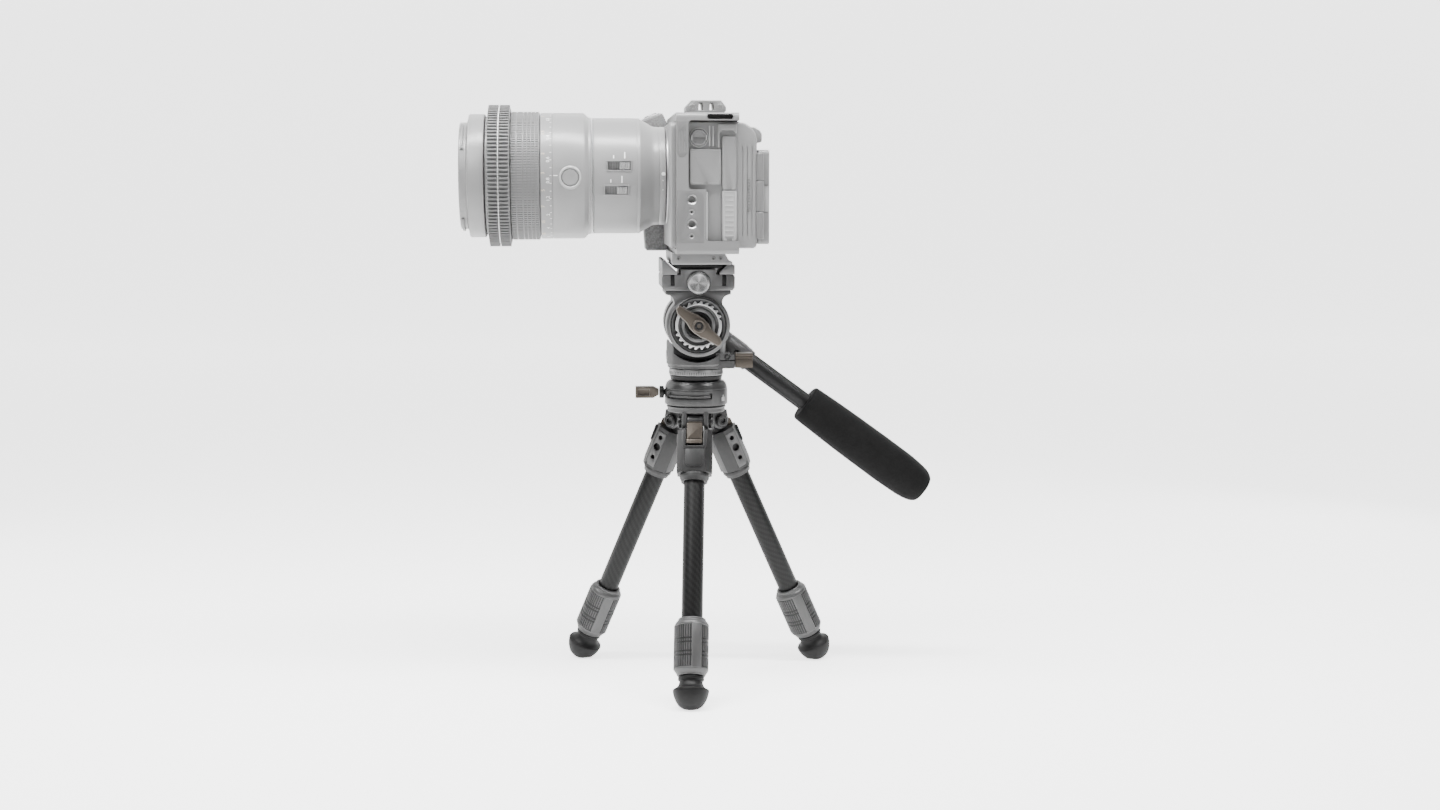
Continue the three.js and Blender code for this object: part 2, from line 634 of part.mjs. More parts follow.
const rearBarrel = SWITCHES.reduce((left, one) => left.subtract(switchPocket(one)), makeLensRear());
addPiece(lens, 'lens_rear_barrel', rearBarrel, 'paleLens');
addPiece(lens, 'lens_front_barrel', cut(makeLensFront(), holdPocket()), 'paleLens');
addPiece(lens, 'focus_ring', tube(39.9, 37.4, 78.4, 96.2, FINE), 'paleRubber');
addPiece(lens, 'focus_gear_ring', makeGearRing(), 'paleRubber');
addPiece(lens, 'filter_ring', makeFilterRing(), 'paleLens');
addPiece(lens, 'front_element', makeFrontElement(), 'glass');
addPiece(lens, 'focus_hold_button', makeHoldButton(), 'paleLens');
for (const one of SWITCHES) {
  addPiece(lens, one.name, makeSwitch(one), 'paleLens');
}

function makeDoor(x0, x1, z0, z1) {
  return box(x0, x1, -62.6, -60.0, z0, z1);
}

function makeScreenHinge() {
  const barrel = rod(2.6, 282, 334).translate([35.2, -59.2, 0]);
  return barrel;
}

function makeScreen() {
  return box(34.2, 41.7, -55.8, 33, 278.7, 336.2);
}

addPiece(camera, 'camera_plate', makeCameraPlate(), 'black');
addPiece(camera, 'camera_cage', makeCage(), 'paleBody');
addPiece(camera, 'cage_top_rail', makeRail(), 'paleBody');
addPiece(camera, 'camera_body', makeBody(), 'paleBody');
addPiece(camera, 'handgrip', makeHandgrip(), 'paleRubber');
addPiece(camera, 'shutter_button', shutterRod(BUTTON_RADIUS, -0.9, 1.4), 'paleBody');
addPiece(camera, 'port_door_front', makeDoor(-7, 11.5, 315, 336.2), 'paleBody');
addPiece(camera, 'port_door_upper', makeDoor(12.4, 21, 311.9, 343.9), 'paleBody');
addPiece(camera, 'port_door_lower', makeDoor(12.4, 21, 281, 311.3), 'paleBody');
addPiece(camera, 'screen_hinge', makeScreenHinge(), 'paleBody');
addPiece(camera, 'rear_screen', makeScreen(), 'paleBody');

// ---------------------------------------------------------------- placing
tripod.updateMatrixWorld(true);
const bounds = new THREE.Box3().setFromObject(tripod, true);
const middle = bounds.getCenter(new THREE.Vector3());
tripod.position.set(-middle.x, -middle.y, -bounds.min.z);

const assembly = new THREE.Group();
assembly.add(tripod);

export default assembly;
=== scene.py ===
# %% [markdown]
# # A caged camera with a macro lens on a small table tripod
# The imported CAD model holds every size, place and joint. This script dresses it: each CAD piece gets
# a finely made piece in its place, with a material whose detail is worked out by shader nodes.
# All lengths are typed in millimetres and turned into metres once, by the helpers below.

# %% Load the frame
import json
import math

import bpy
from mathutils import Euler, Matrix, Vector


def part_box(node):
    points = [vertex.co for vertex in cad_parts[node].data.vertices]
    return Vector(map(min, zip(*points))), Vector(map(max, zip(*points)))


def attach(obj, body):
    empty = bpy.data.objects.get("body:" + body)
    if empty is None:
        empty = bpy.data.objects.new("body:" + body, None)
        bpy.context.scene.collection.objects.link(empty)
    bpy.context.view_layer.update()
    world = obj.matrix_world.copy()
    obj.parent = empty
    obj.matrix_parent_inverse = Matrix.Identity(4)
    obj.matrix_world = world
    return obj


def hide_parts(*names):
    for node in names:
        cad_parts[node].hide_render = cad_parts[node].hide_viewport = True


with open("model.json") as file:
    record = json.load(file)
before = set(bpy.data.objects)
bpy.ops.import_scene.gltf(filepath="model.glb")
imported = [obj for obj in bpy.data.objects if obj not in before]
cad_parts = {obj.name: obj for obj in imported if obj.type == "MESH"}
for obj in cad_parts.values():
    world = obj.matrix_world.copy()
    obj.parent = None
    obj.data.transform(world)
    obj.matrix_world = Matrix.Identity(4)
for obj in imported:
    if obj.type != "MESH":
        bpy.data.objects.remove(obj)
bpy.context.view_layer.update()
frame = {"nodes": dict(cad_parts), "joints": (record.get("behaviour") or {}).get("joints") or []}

MM = 0.001
JOINTS = {joint["name"]: joint for joint in frame["joints"]}

# %% [markdown]
# ## Finding our place
# The tripod's upright axis is the middle of the bowl, and the floor is at height 0. Most pieces are
# easiest to think of from there, so a place is given as millimetres from that axis. The tilt axis comes
# from its joint, and the lens axis and the leg parts' ends from the boxes of CAD nodes.

# %% Places read from the frame
bowl_low, bowl_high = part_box("bowl_housing")
AXIS_X = (bowl_low.x + bowl_high.x) / 2
AXIS_Y = (bowl_low.y + bowl_high.y) / 2
HERE = Matrix.Translation((AXIS_X, AXIS_Y, 0.0))


def span(node):
    """A node's lowest and highest corner, in millimetres from the tripod's axis and the floor."""
    low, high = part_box(node)
    shift = Vector((AXIS_X, AXIS_Y, 0.0))
    return (low - shift) / MM, (high - shift) / MM


TILT_AXIS = (Vector(JOINTS["tilt"]["pos_m"]) - Vector((AXIS_X, AXIS_Y, 0.0))) / MM
lens_low, lens_high = span("focus_gear_ring")
LENS_Z = (lens_low.z + lens_high.z) / 2
print("tilt axis height", round(TILT_AXIS.z, 1), "lens axis height", round(LENS_Z, 1))

# %% [markdown]
# ## The workbench
# Every piece starts as a Blender primitive and is shaped with the same tools as by hand. `pen` draws
# a line by extruding one vertex after another. `turned` spins such a line into a round piece, as on a
# lathe, and `slab` fills it and pulls it to a thickness. `cut` and `weld` are boolean modifiers, and
# `soften` bevels the edges, because no machined edge is truly sharp.

# %% Selecting and applying
def clear():
    """Nothing is selected, so that the next tool acts only on what it makes."""
    if bpy.context.object and bpy.context.object.mode != "OBJECT":
        bpy.ops.object.mode_set(mode="OBJECT")
    bpy.ops.object.select_all(action="DESELECT")


def pick(piece):
    clear()
    piece.select_set(True)
    bpy.context.view_layer.objects.active = piece
    return piece


def edit(piece):
    pick(piece)
    bpy.ops.object.mode_set(mode="EDIT")
    bpy.ops.mesh.select_mode(type="VERT")
    bpy.ops.mesh.select_all(action="SELECT")


def leave():
    bpy.ops.object.mode_set(mode="OBJECT")


def settle(piece):
    """The object's place goes into its mesh, and the object stays at the origin."""
    pick(piece)
    bpy.ops.object.transform_apply(location=True, rotation=True, scale=True)
    return piece


def lay(piece, matrix):
    piece.matrix_world = matrix @ piece.matrix_world
    return settle(piece)


def mend(piece):
    """Doubles are merged, and faces turned to point out."""
    edit(piece)
    bpy.ops.mesh.remove_doubles(threshold=0.004 * MM)
    bpy.ops.mesh.select_all(action="SELECT")
    bpy.ops.mesh.normals_make_consistent(inside=False)
    leave()
    return piece


# %% Drawing, turning and pulling
def pen(name, points):
    """Draws a line of points, each vertex extruded from the last, and stays in edit mode."""
    clear()
    bpy.ops.mesh.primitive_plane_add(size=MM)
    piece = bpy.context.object
    piece.name = name
    edit(piece)
    bpy.ops.mesh.merge(type="CENTER")
    bpy.ops.transform.translate(value=points[0])
    for here, there in zip(points, points[1:]):
        bpy.ops.mesh.extrude_region_move(TRANSFORM_OT_translate={"value": there - here})
    return piece


def turned(name, profile, sides=96):
    """A profile of (radius, height) points, turned about Z."""
    piece = pen(name, [Vector((r * MM, 0, z * MM)) for r, z in profile])
    bpy.ops.mesh.select_all(action="SELECT")
    bpy.ops.mesh.spin(steps=sides, angle=2 * math.pi, center=(0, 0, 0), axis=(0, 0, 1))
    leave()
    return mend(piece)


def slab(name, outline, low, high, along="Y"):
    """A closed outline, filled and pulled from low to high along X, Y or Z."""
    order = {"X": lambda a, b, c: (c, a, b), "Y": lambda a, b, c: (a, c, b), "Z": lambda a, b, c: (a, b, c)}
    place = order[along]
    piece = pen(name, [Vector(place(a, b, low)) * MM for a, b in outline])
    bpy.ops.mesh.select_all(action="SELECT")
    bpy.ops.mesh.edge_face_add()
    pull = Vector(place(0, 0, high - low)) * MM
    bpy.ops.mesh.extrude_region_move(TRANSFORM_OT_translate={"value": pull})
    leave()
    return mend(piece)


def block(name, low, high):
    clear()
    middle = (Vector(low) + Vector(high)) / 2 * MM
    size = (Vector(high) - Vector(low)) * MM
    bpy.ops.mesh.primitive_cube_add(size=1, location=middle, scale=size)
    piece = bpy.context.object
    piece.name = name
    return settle(piece)


def peg(name, radius, low, high, along="Z", centre=(0, 0, 0), sides=48):
    """A round bar from low to high along an axis through centre."""
    clear()
    turn = {"X": (0, math.pi / 2, 0), "Y": (-math.pi / 2, 0, 0), "Z": (0, 0, 0)}[along]
    way = {"X": Vector((1, 0, 0)), "Y": Vector((0, 1, 0)), "Z": Vector((0, 0, 1))}[along]
    middle = (Vector(centre) + way * (low + high) / 2) * MM
    bpy.ops.mesh.primitive_cylinder_add(
        vertices=sides, radius=radius * MM, depth=(high - low) * MM, location=middle, rotation=turn)
    piece = bpy.context.object
    piece.name = name
    return settle(piece)


# %% Cutting, joining and bevelling
def boolean(piece, tool, operation):
    pick(piece)
    step = piece.modifiers.new("cut", "BOOLEAN")
    step.operation = operation
    step.object = tool
    step.solver = "EXACT"
    bpy.ops.object.modifier_apply(modifier=step.name)
    bpy.data.objects.remove(tool)


def cut(piece, *tools):
    for tool in tools:
        boolean(piece, tool, "DIFFERENCE")
    return piece


def weld(piece, *others):
    for other in others:
        boolean(piece, other, "UNION")
    return piece


def together(name, pieces):
    """Several separate solids become one object."""
    clear()
    for piece in pieces:
        piece.select_set(True)
    bpy.context.view_layer.objects.active = pieces[0]
    bpy.ops.object.join()
    pieces[0].name = name
    return pieces[0]


def soften(piece, width=0.3, steps=2, limit=32):
    """Bevels each edge sharper than the limit, then shades the rest smooth."""
    pick(piece)
    bevel = piece.modifiers.new("bevel", "BEVEL")
    bevel.width = width * MM
    bevel.segments = steps
    bevel.limit_method = "ANGLE"
    bevel.angle_limit = math.radians(limit)
    bevel.miter_outer = "MITER_ARC"
    bpy.ops.object.modifier_apply(modifier=bevel.name)
    bpy.ops.object.shade_smooth_by_angle(angle=math.radians(38))
    mark_rims(piece.data, width)
    return piece


def mark_rims(mesh, width):
    """The narrow faces along bevelled edges are marked, so that a finish can lighten outer edges for wear and
    as a painted highlight, and darken inner corners as painted shade.
    """
    rim = mesh.attributes.get("rim") or mesh.attributes.new("rim", "FLOAT", "FACE")
    lengths = [(mesh.vertices[a].co - mesh.vertices[b].co).length
               for a, b in (e.vertices for e in mesh.edges)]
    for face in mesh.polygons:
        edges = [mesh.loops[i].edge_index for i in face.loop_indices]
        longest = max(lengths[i] for i in edges)
        rim.data[face.index].value = float(face.area / longest < width * 0.95 * MM) if longest > 0 else 0.0


def copied(piece, name, matrix):
    """A copy with its own mesh, moved by a matrix about the world's origin."""
    twin = piece.copy()
    twin.data = piece.data.copy()
    twin.name = name
    bpy.context.scene.collection.objects.link(twin)
    return lay(twin, matrix)


def around(piece, count, axis="Z", first=0.0):
    """Copies of one piece, spaced evenly about an axis through the world's origin."""
    turns = [Matrix.Rotation(first + 2 * math.pi * i / count, 4, axis) for i in range(count)]
    made = [copied(piece, f"{piece.name}_{i}", turn) for i, turn in enumerate(turns)]
    bpy.data.objects.remove(piece)
    return made


def arc(across, up, radius, start, end, steps=8):
    """Points on a round stretch of an outline, from one angle to another, in degrees."""
    angles = [math.radians(start + (end - start) * i / steps) for i in range(steps + 1)]
    return [(across + radius * math.cos(a), up + radius * math.sin(a)) for a in angles]


def rounded(low, high, radius, steps=5):
    """An outline with round corners, between two opposite corners."""
    (x0, z0), (x1, z1) = low, high
    corners = ((x1 - radius, z1 - radius, 0), (x0 + radius, z1 - radius, 90), (x0 + radius, z0 + radius, 180),
               (x1 - radius, z0 + radius, 270))
    return [point for x, z, start in corners for point in arc(x, z, radius, start, start + 90, steps)]


def gear_outline(root, tip, teeth, land=0.5, flank=0.1):
    """Teeth with flat tips: land is the tip's share of a step, and flank each side's."""
    points = []
    for i in range(teeth):
        for share, radius in ((0, root), (flank, tip), (flank + land, tip), (2 * flank + land, root)):
            angle = 2 * math.pi * (i + share) / teeth
            points.append((radius * math.cos(angle), radius * math.sin(angle)))
    return points


TALLY = []


def dress(piece, material, body, *stands_for, slot=None):
    """A finished piece gets its material, its body, and the CAD nodes that it stands for."""
    piece.data.materials.clear()
    piece.data.materials.append(material)
    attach(piece, body)
    if stands_for:
        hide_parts(*stands_for)
    TALLY.append((piece.name, len(piece.data.polygons)))
    return piece

# %% [markdown]
# ## Shader arithmetic
# A material here is worked out from a point's place. Writing that as node after node is hard to
# read, so one class wraps a socket and lets us write sums as Python does: each operator adds a Math
# node. Colours go through Mix nodes, because a Math node would turn them grey.

# %% A socket that does sums
class Value:
    def __init__(self, shop, socket):
        self.shop = shop
        self.socket = socket

    def _math(self, operation, *others):
        return self.shop.math(operation, self, *others)

    def __add__(self, other):
        return self._math("ADD", other)

    def __radd__(self, other):
        return self._math("ADD", other)

    def __sub__(self, other):
        return self._math("SUBTRACT", other)

    def __rsub__(self, other):
        return self.shop.math("SUBTRACT", other, self)

    def __mul__(self, other):
        return self._math("MULTIPLY", other)

    def __rmul__(self, other):
        return self._math("MULTIPLY", other)

    def __truediv__(self, other):
        return self._math("DIVIDE", other)

    def __rtruediv__(self, other):
        return self.shop.math("DIVIDE", other, self)

    def __mod__(self, other):
        return self._math("FLOORED_MODULO", other)

    def __neg__(self):
        return self._math("MULTIPLY", -1)

    def __abs__(self):
        return self._math("ABSOLUTE")

    def __gt__(self, other):
        return self._math("GREATER_THAN", other)

    def __lt__(self, other):
        return self._math("LESS_THAN", other)

    def clamp(self):
        return self.shop.clamped(self)


class Shop:
    """One material's nodes, made by one method."""

    def __init__(self, name, slot):
        self.material = bpy.data.materials.new(name)
        self.material.use_nodes = True
        self.material["slot"] = slot
        self.tree = self.material.node_tree
        self.tree.nodes.clear()
        self.surface = self.tree.nodes.new("ShaderNodeBsdfPrincipled")
        out = self.tree.nodes.new("ShaderNodeOutputMaterial")
        self.tree.links.new(self.surface.outputs[0], out.inputs["Surface"])

    def node(self, kind, settings=None, **sockets):
        made = self.tree.nodes.new("ShaderNode" + kind)
        for key, value in (settings or {}).items():
            if key == "stops":
                ramp = made.color_ramp
                while len(ramp.elements) < len(value):
                    ramp.elements.new(1.0)
                for element, (place, colour) in zip(ramp.elements, value):
                    element.position = place
                    element.color = (*colour, 1)
            else:
                setattr(made, key, value)
        for key, value in sockets.items():
            self.feed(made, key, value)
        return made

    def feed(self, made, key, value):
        socket = made.inputs[int(key[1:])] if key[0] == "i" and key[1:].isdigit() else made.inputs[key]
        if isinstance(value, Value):
            self.tree.links.new(value.socket, socket)
        else:
            socket.default_value = value

    def math(self, operation, *values):
        keys = {f"i{i}": value for i, value in enumerate(values)}
        made = self.node("Math", {"operation": operation}, **keys)
        return Value(self, made.outputs[0])

    def clamped(self, value):
        made = self.node("Clamp", None, Value=value)
        return Value(self, made.outputs[0])

    def mix(self, share, first, second):
        """Colours from first to second as share goes from 0 to 1."""
        made = self.tree.nodes.new("ShaderNodeMix")
        made.data_type = "RGBA"
        for index, value in ((0, share), (6, first), (7, second)):
            if isinstance(value, Value):
                self.tree.links.new(value.socket, made.inputs[index])
            elif index == 0:
                made.inputs[index].default_value = value
            else:
                made.inputs[index].default_value = (*value, 1)
        return Value(self, made.outputs[2])

    def place(self, frame_matrix=None):
        """The point in a piece's own frame, in millimetres, as three values."""
        back = (frame_matrix or Matrix.Identity(4)).inverted()
        grow = (1 / MM,) * 3
        made = self.node("Mapping", {"vector_type": "POINT"},
                         Location=back.to_translation() / MM, Rotation=back.to_euler(), Scale=grow)
        coords = self.node("TexCoord")
        self.tree.links.new(coords.outputs["Object"], made.inputs["Vector"])
        self.vector = Value(self, made.outputs[0])
        parts = self.node("SeparateXYZ", None, Vector=self.vector)
        return [Value(self, parts.outputs[i]) for i in range(3)]

    def stretch(self, scale):
        made = self.node("Mapping", {"vector_type": "POINT"}, Vector=self.vector, Scale=scale)
        return Value(self, made.outputs[0])

    def noise(self, size, detail=3.0, rough=0.55, vector=None):
        """Soft noise from 0 to 1, whose blobs are about size millimetres across."""
        made = self.node("TexNoise", None, Vector=vector or self.vector,
                         Scale=1 / size, Detail=detail, Roughness=rough)
        return Value(self, made.outputs[0])

    def edges(self, softness=0.04):
        """Two masks on the marked rims: outer edges, for wear and a painted highlight, and inner corners, for
        painted shade.
        """
        rim = Value(self, self.node("Attribute", {"attribute_name": "rim"}).outputs["Fac"])
        point = Value(self, self.node("NewGeometry").outputs["Pointiness"])
        outer = self.clamped((point - 0.5) / softness)
        inner = self.clamped((0.5 - point) / softness)
        return rim * outer, rim * inner

    # The outer-edge mask alone: where edges are lightened for wear and as a painted highlight.
    def wear_and_painted_light(self):
        return self.edges()[0]

    def bump(self, height, depth, strength=1.0):
        """Relief of a few hundredths of a millimetre, from a height between 0 and 1."""
        made = self.node("Bump", None, Height=height, Distance=depth * MM, Strength=strength)
        self.tree.links.new(made.outputs[0], self.surface.inputs["Normal"])

    def finish(self, **sockets):
        names = {"color": "Base Color", "coat": "Coat Weight", "coat_rough": "Coat Roughness",
                 "sheen": "Sheen Weight", "rough": "Roughness", "metal": "Metallic",
                 "specular": "Specular IOR Level", "anisotropic": "Anisotropic"}
        for key, value in sockets.items():
            name = names.get(key, key)
            if name == "Base Color" and not isinstance(value, Value):
                value = (*value, 1)
            self.feed(self.surface, name, value)
        return self.material


def grey(level, warm=0.0):
    """A linear colour from a grey level of 0 to 255 as a screen shows it, made a little warm."""
    linear = ((level / 255 + 0.055) / 1.055) ** 2.4
    return (linear * (1 + warm), linear, linear * (1 - warm))

# %% [markdown]
# ## Metal finishes
# Anodised aluminium is blasted first, so it has a sandy grain a quarter of a millimetre across and soft
# clouds where the dye took differently. Its outer edges are paler, for wear where the coating is thin and
# as a painted highlight, and its inner corners are darkened as painted shade. Turned faces carry the
# rings that the lathe's tool left. Each finish is one function, so that pieces share its recipe but can
# have their own level of grey and their own centre.

# %% Blasted and turned metals
def blasted(name, slot, level, warm=0.0, matrix=None, grain=0.28, rough=0.42, metal=0.55, edge=36,
            specular=0.5):
    shop = Shop(name, slot)
    shop.place(matrix)
    sand = shop.noise(grain, 2.0)
    cloud = shop.noise(9.0, 3.0)
    base = shop.mix(cloud, grey(level - 7, warm), grey(level + 7, warm))
    specked = shop.mix(sand * 0.5, base, grey(level + 14, warm))
    # Outer rims are lightened for wear and as a painted highlight, and inner corners darkened as painted
    # shade.
    outer, inner = shop.edges()
    highlit_and_worn_edges = shop.mix(outer * 0.7, specked, grey(min(level + edge, 235), warm * 0.5))
    wear_and_painted_light = shop.mix(inner * 0.8, highlit_and_worn_edges, grey(level * 0.4, warm))
    shop.bump(sand, 0.02, 0.5)
    return shop.finish(color=wear_and_painted_light, rough=rough - 0.06 + sand * 0.1 + cloud * 0.05, metal=metal,
                       specular=specular)


def rings(shop, radius, z):
    """A vector that changes only with radius and height, so noise read from it runs in rings."""
    made = shop.node("CombineXYZ", None, X=radius * 6, Y=z * 6, Z=0.0)
    return Value(shop, made.outputs[0])


def lathed(name, slot, level, pitch=0.35):
    """Rings about the piece's own Z axis, as a lathe leaves them."""
    shop = Shop(name, slot)
    x, y, z = shop.place()
    radius = shop.math("SQRT", x * x + y * y)
    ring = shop.math("SINE", (radius + z) * (2 * math.pi / pitch)) * 0.5 + 0.5
    streak = shop.noise(0.12, 2.0, vector=rings(shop, radius, z))
    cloud = shop.noise(6.0)
    base = shop.mix(streak, grey(level - 16), grey(level + 14))
    # Outer rims are lightened for wear and as a painted highlight.
    wear_and_painted_light = shop.mix(shop.wear_and_painted_light() * 0.8, base, grey(min(level + 45, 240)))
    shop.bump(ring * 0.6 + streak * 0.4, 0.012, 0.8)
    return shop.finish(color=wear_and_painted_light, rough=0.25 + streak * 0.12 + cloud * 0.04, metal=0.85)

# %% [markdown]
# ## Carbon fibre
# The leg tubes are wound from woven carbon, a twill in which each tow passes over two and under two.
# Round the tube, the angle times the radius is one direction of the cloth and the height is the
# other. A diagonal count of the two says which tow is on top, and the tow's own fibres give it a fine
# grain. The two directions of tow are painted in two greys, and each tow lighter along its crown, as
# painted reflection. A thin lacquer lies over it, which the coat makes.

# %% Carbon twill
def carbon(name, slot, matrix, radius, tow=1.1, level=15):
    shop = Shop(name, slot)
    x, y, z = shop.place(matrix)
    round_way = shop.math("ARCTAN2", y, x) * (radius / tow)
    up_way = z / tow
    column = shop.math("FLOOR", round_way)
    row = shop.math("FLOOR", up_way)
    over = ((column + row) % 4) < 1.5
    across = abs((round_way % 1.0) - 0.5) * 2
    along = abs((up_way % 1.0) - 0.5) * 2
    crown = over * (1 - across * across) + (1 - over) * (1 - along * along)
    fibre = shop.noise(0.35, 3.0, vector=shop.stretch((4.0, 4.0, 0.6)))
    # Painted reflection: one direction of tow is lighter than the other, and each tow's crown lighter than
    # its sides; the fibre noise is grain.
    shade = (over * 0.6 + crown * 0.25 + fibre * 0.3).clamp()
    color = shop.mix(shade, grey(level - 7), grey(level + 9))
    shop.bump(crown * 0.7 + fibre * 0.3, 0.03, 0.35)
    return shop.finish(color=color, rough=0.36 + fibre * 0.14, metal=0.0, specular=0.2, coat=0.06,
                       coat_rough=0.2)

# %% [markdown]
# ## Rubber, foam, paint and ink
# Rubber is matt and slightly dusty, and its edges are lightened for wear and as a painted highlight.
# The handle's sleeve is closed-cell foam, whose skin shows pores, darkened inside as painted shade.
# The camera and lens wear a very fine matt paint over metal, with a faint orange-peel, and the marks
# on them are printed ink.

# %% Soft and painted finishes
def rubber(name, slot, level, matrix=None, grain=0.35, rough=0.62):
    shop = Shop(name, slot)
    shop.place(matrix)
    skin = shop.noise(grain, 3.0)
    dust = shop.noise(5.0, 4.0)
    base = shop.mix(dust, grey(level - 5), grey(level + 6))
    # Edges are lightened for wear and as a painted highlight.
    wear_and_painted_light = shop.mix(shop.wear_and_painted_light() * 0.4, base, grey(level + 22))
    shop.bump(skin, 0.03, 0.6)
    return shop.finish(color=wear_and_painted_light, rough=rough - 0.05 + dust * 0.14, specular=0.3)


def foam(name, slot, level, matrix=None):
    shop = Shop(name, slot)
    shop.place(matrix)
    cells = shop.node("TexVoronoi", None, Vector=shop.vector, Scale=1.3)
    pore = shop.clamped(Value(shop, cells.outputs["Distance"]) * 2.2)
    cloud = shop.noise(7.0, 3.0)
    fleck = shop.noise(0.6, 2.0)
    base = shop.mix(cloud * 0.7 + fleck * 0.3, grey(level - 5), grey(level + 9))
    # The pores are darkened as painted shade.
    deep = shop.mix(pore, grey(level - 14), base)
    shop.bump(pore * 0.7 + fleck * 0.3, 0.09, 0.7)
    return shop.finish(color=deep, rough=0.78 - pore * 0.06, specular=0.12)


def paint(name, slot, level, grain=0.4, rough=0.42, coat=0.12, edge=14):
    shop = Shop(name, slot)
    shop.place()
    peel = shop.noise(grain, 2.0)
    cloud = shop.noise(14.0, 3.0)
    base = shop.mix(cloud, grey(level - 3), grey(level + 3))
    specked = shop.mix(peel * 0.4, base, grey(level + 6))
    # Outer rims are lightened for wear and as a painted highlight, and inner corners darkened as painted
    # shade.
    outer, inner = shop.edges()
    highlit_and_worn_edges = shop.mix(outer * 0.8, specked, grey(min(level + edge, 240)))
    wear_and_painted_light = shop.mix(inner * 0.8, highlit_and_worn_edges, grey(level * 0.6))
    shop.bump(peel, 0.015, 0.4)
    return shop.finish(color=wear_and_painted_light, rough=rough - 0.04 + peel * 0.08, coat=coat, coat_rough=0.3)


def ink(name, slot, level, warm=0.0):
    shop = Shop(name, slot)
    shop.place()
    grain = shop.noise(0.2, 2.0)
    color = shop.mix(grain, grey(level - 8, warm), grey(level + 4, warm))
    return shop.finish(color=color, rough=0.5 + grain * 0.1)


# %% The palette
GREY_METAL = blasted("blasted grey", "grey_alloy", 70)
LOCK_METAL = blasted("lock grey", "grey_alloy", 80)
DEEP_METAL = blasted("blasted deep grey", "grey_alloy", 52)
STRIP_METAL = blasted("blasted bright strip", "grey_alloy", 86, grain=0.5, metal=0.6, edge=30)
SHADOW_METAL = blasted("shadow grey", "grey_alloy", 32, metal=0.3, edge=24)
BRONZE = blasted("brown anodised", "bronze_alloy", 68, warm=0.18, rough=0.38, metal=0.6, edge=44)
BLACK_METAL = blasted("black anodised", "black_alloy", 13, rough=0.42, metal=0.0, edge=26, specular=0.3)
BOLT_STEEL = blasted("black oxide", "bolt_steel", 26, rough=0.26, metal=0.4, edge=60)
SILVER = lathed("bright turned", "silver_alloy", 164)
PALE = paint("pale body paint", "pale_body", 124)
PALE_DARK = paint("pale body shade", "pale_body", 104, edge=10)
PALE_LIGHT = paint("pale body light", "pale_body", 156, edge=8)
FOOT_RUBBER = rubber("black rubber", "foot_rubber", 8, rough=0.5)
LENS_INK = ink("white lens ink", "pale_lens", 238)
LENS_ORANGE = ink("warm lens ink", "pale_lens", 200, warm=0.22)
print("finishes:", len(bpy.data.materials))

# %% [markdown]
# ## Leg frames
# Each leg is easiest to model hanging straight down with its pivot at the origin and +X pointing
# out of the tripod. The joints say where the pivot is and which way the leg runs, so a matrix built
# from them lays each finished leg piece where it belongs.

# %% Leg frames from the joints
SIDES = ("front", "right", "left")


def leg_frame(side):
    fold = JOINTS[f"leg_fold_{side}"]
    up = -Vector(JOINTS[f"leg_extend_{side}"]["axis"])
    tangent = Vector(fold["axis"])
    out = tangent.cross(up)
    turn = Matrix((out, tangent, up)).transposed().to_4x4()
    return Matrix.Translation(fold["pos_m"]) @ turn


LEG_FRAMES = {side: leg_frame(side) for side in SIDES}


def down_leg(node):
    """How far down its leg a node of the front leg starts and ends, in millimetres."""
    back = LEG_FRAMES["front"].inverted()
    heights = [-(back @ vertex.co).z / MM for vertex in frame["nodes"][node].data.vertices]
    return min(heights), max(heights)


def on_each_leg(piece, name, material, body, *nodes, slot=None):
    """One piece modelled on a hanging leg is copied to all three legs."""
    for side in SIDES:
        twin = copied(piece, f"{name}_{side}", LEG_FRAMES[side])
        chosen = material(side) if callable(material) else material
        stands_for = [f"{node}_{side}" for node in nodes]
        dress(twin, chosen, f"{body}_{side}" if body != "root" else "root", *stands_for, slot=slot)
    bpy.data.objects.remove(piece)


TUBE_TOP, TUBE_END = down_leg("leg_tube_front")
LOCK_TOP, LOCK_END = down_leg("twist_lock_front")
SHOULDER_END = down_leg("leg_shoulder_front")[1]
print("lock from", round(LOCK_TOP, 1), "to", round(LOCK_END, 1), "mm down the leg")

# %% [markdown]
# ## Leg shoulders
# A shoulder is milled from a bar: an eight-sided block whose corners are cut back so that three legs
# fold close together, with a tongue that turns between the hub's cheeks. Below the block a collar is
# turned to grip the carbon tube. It is drawn as an outline, pulled up, and then cut by round tools.

# %% Shoulder block, collar and panel
BOLT_HOLE = 2.9
BLOCK_HALF = 10.8
CHEEK_ROOM = 6.2
STRIP_HOLES = ((-13.2, 1.5), (-20.0, 2.5), (-27.4, 1.5))
COLLAR_START = 35.0


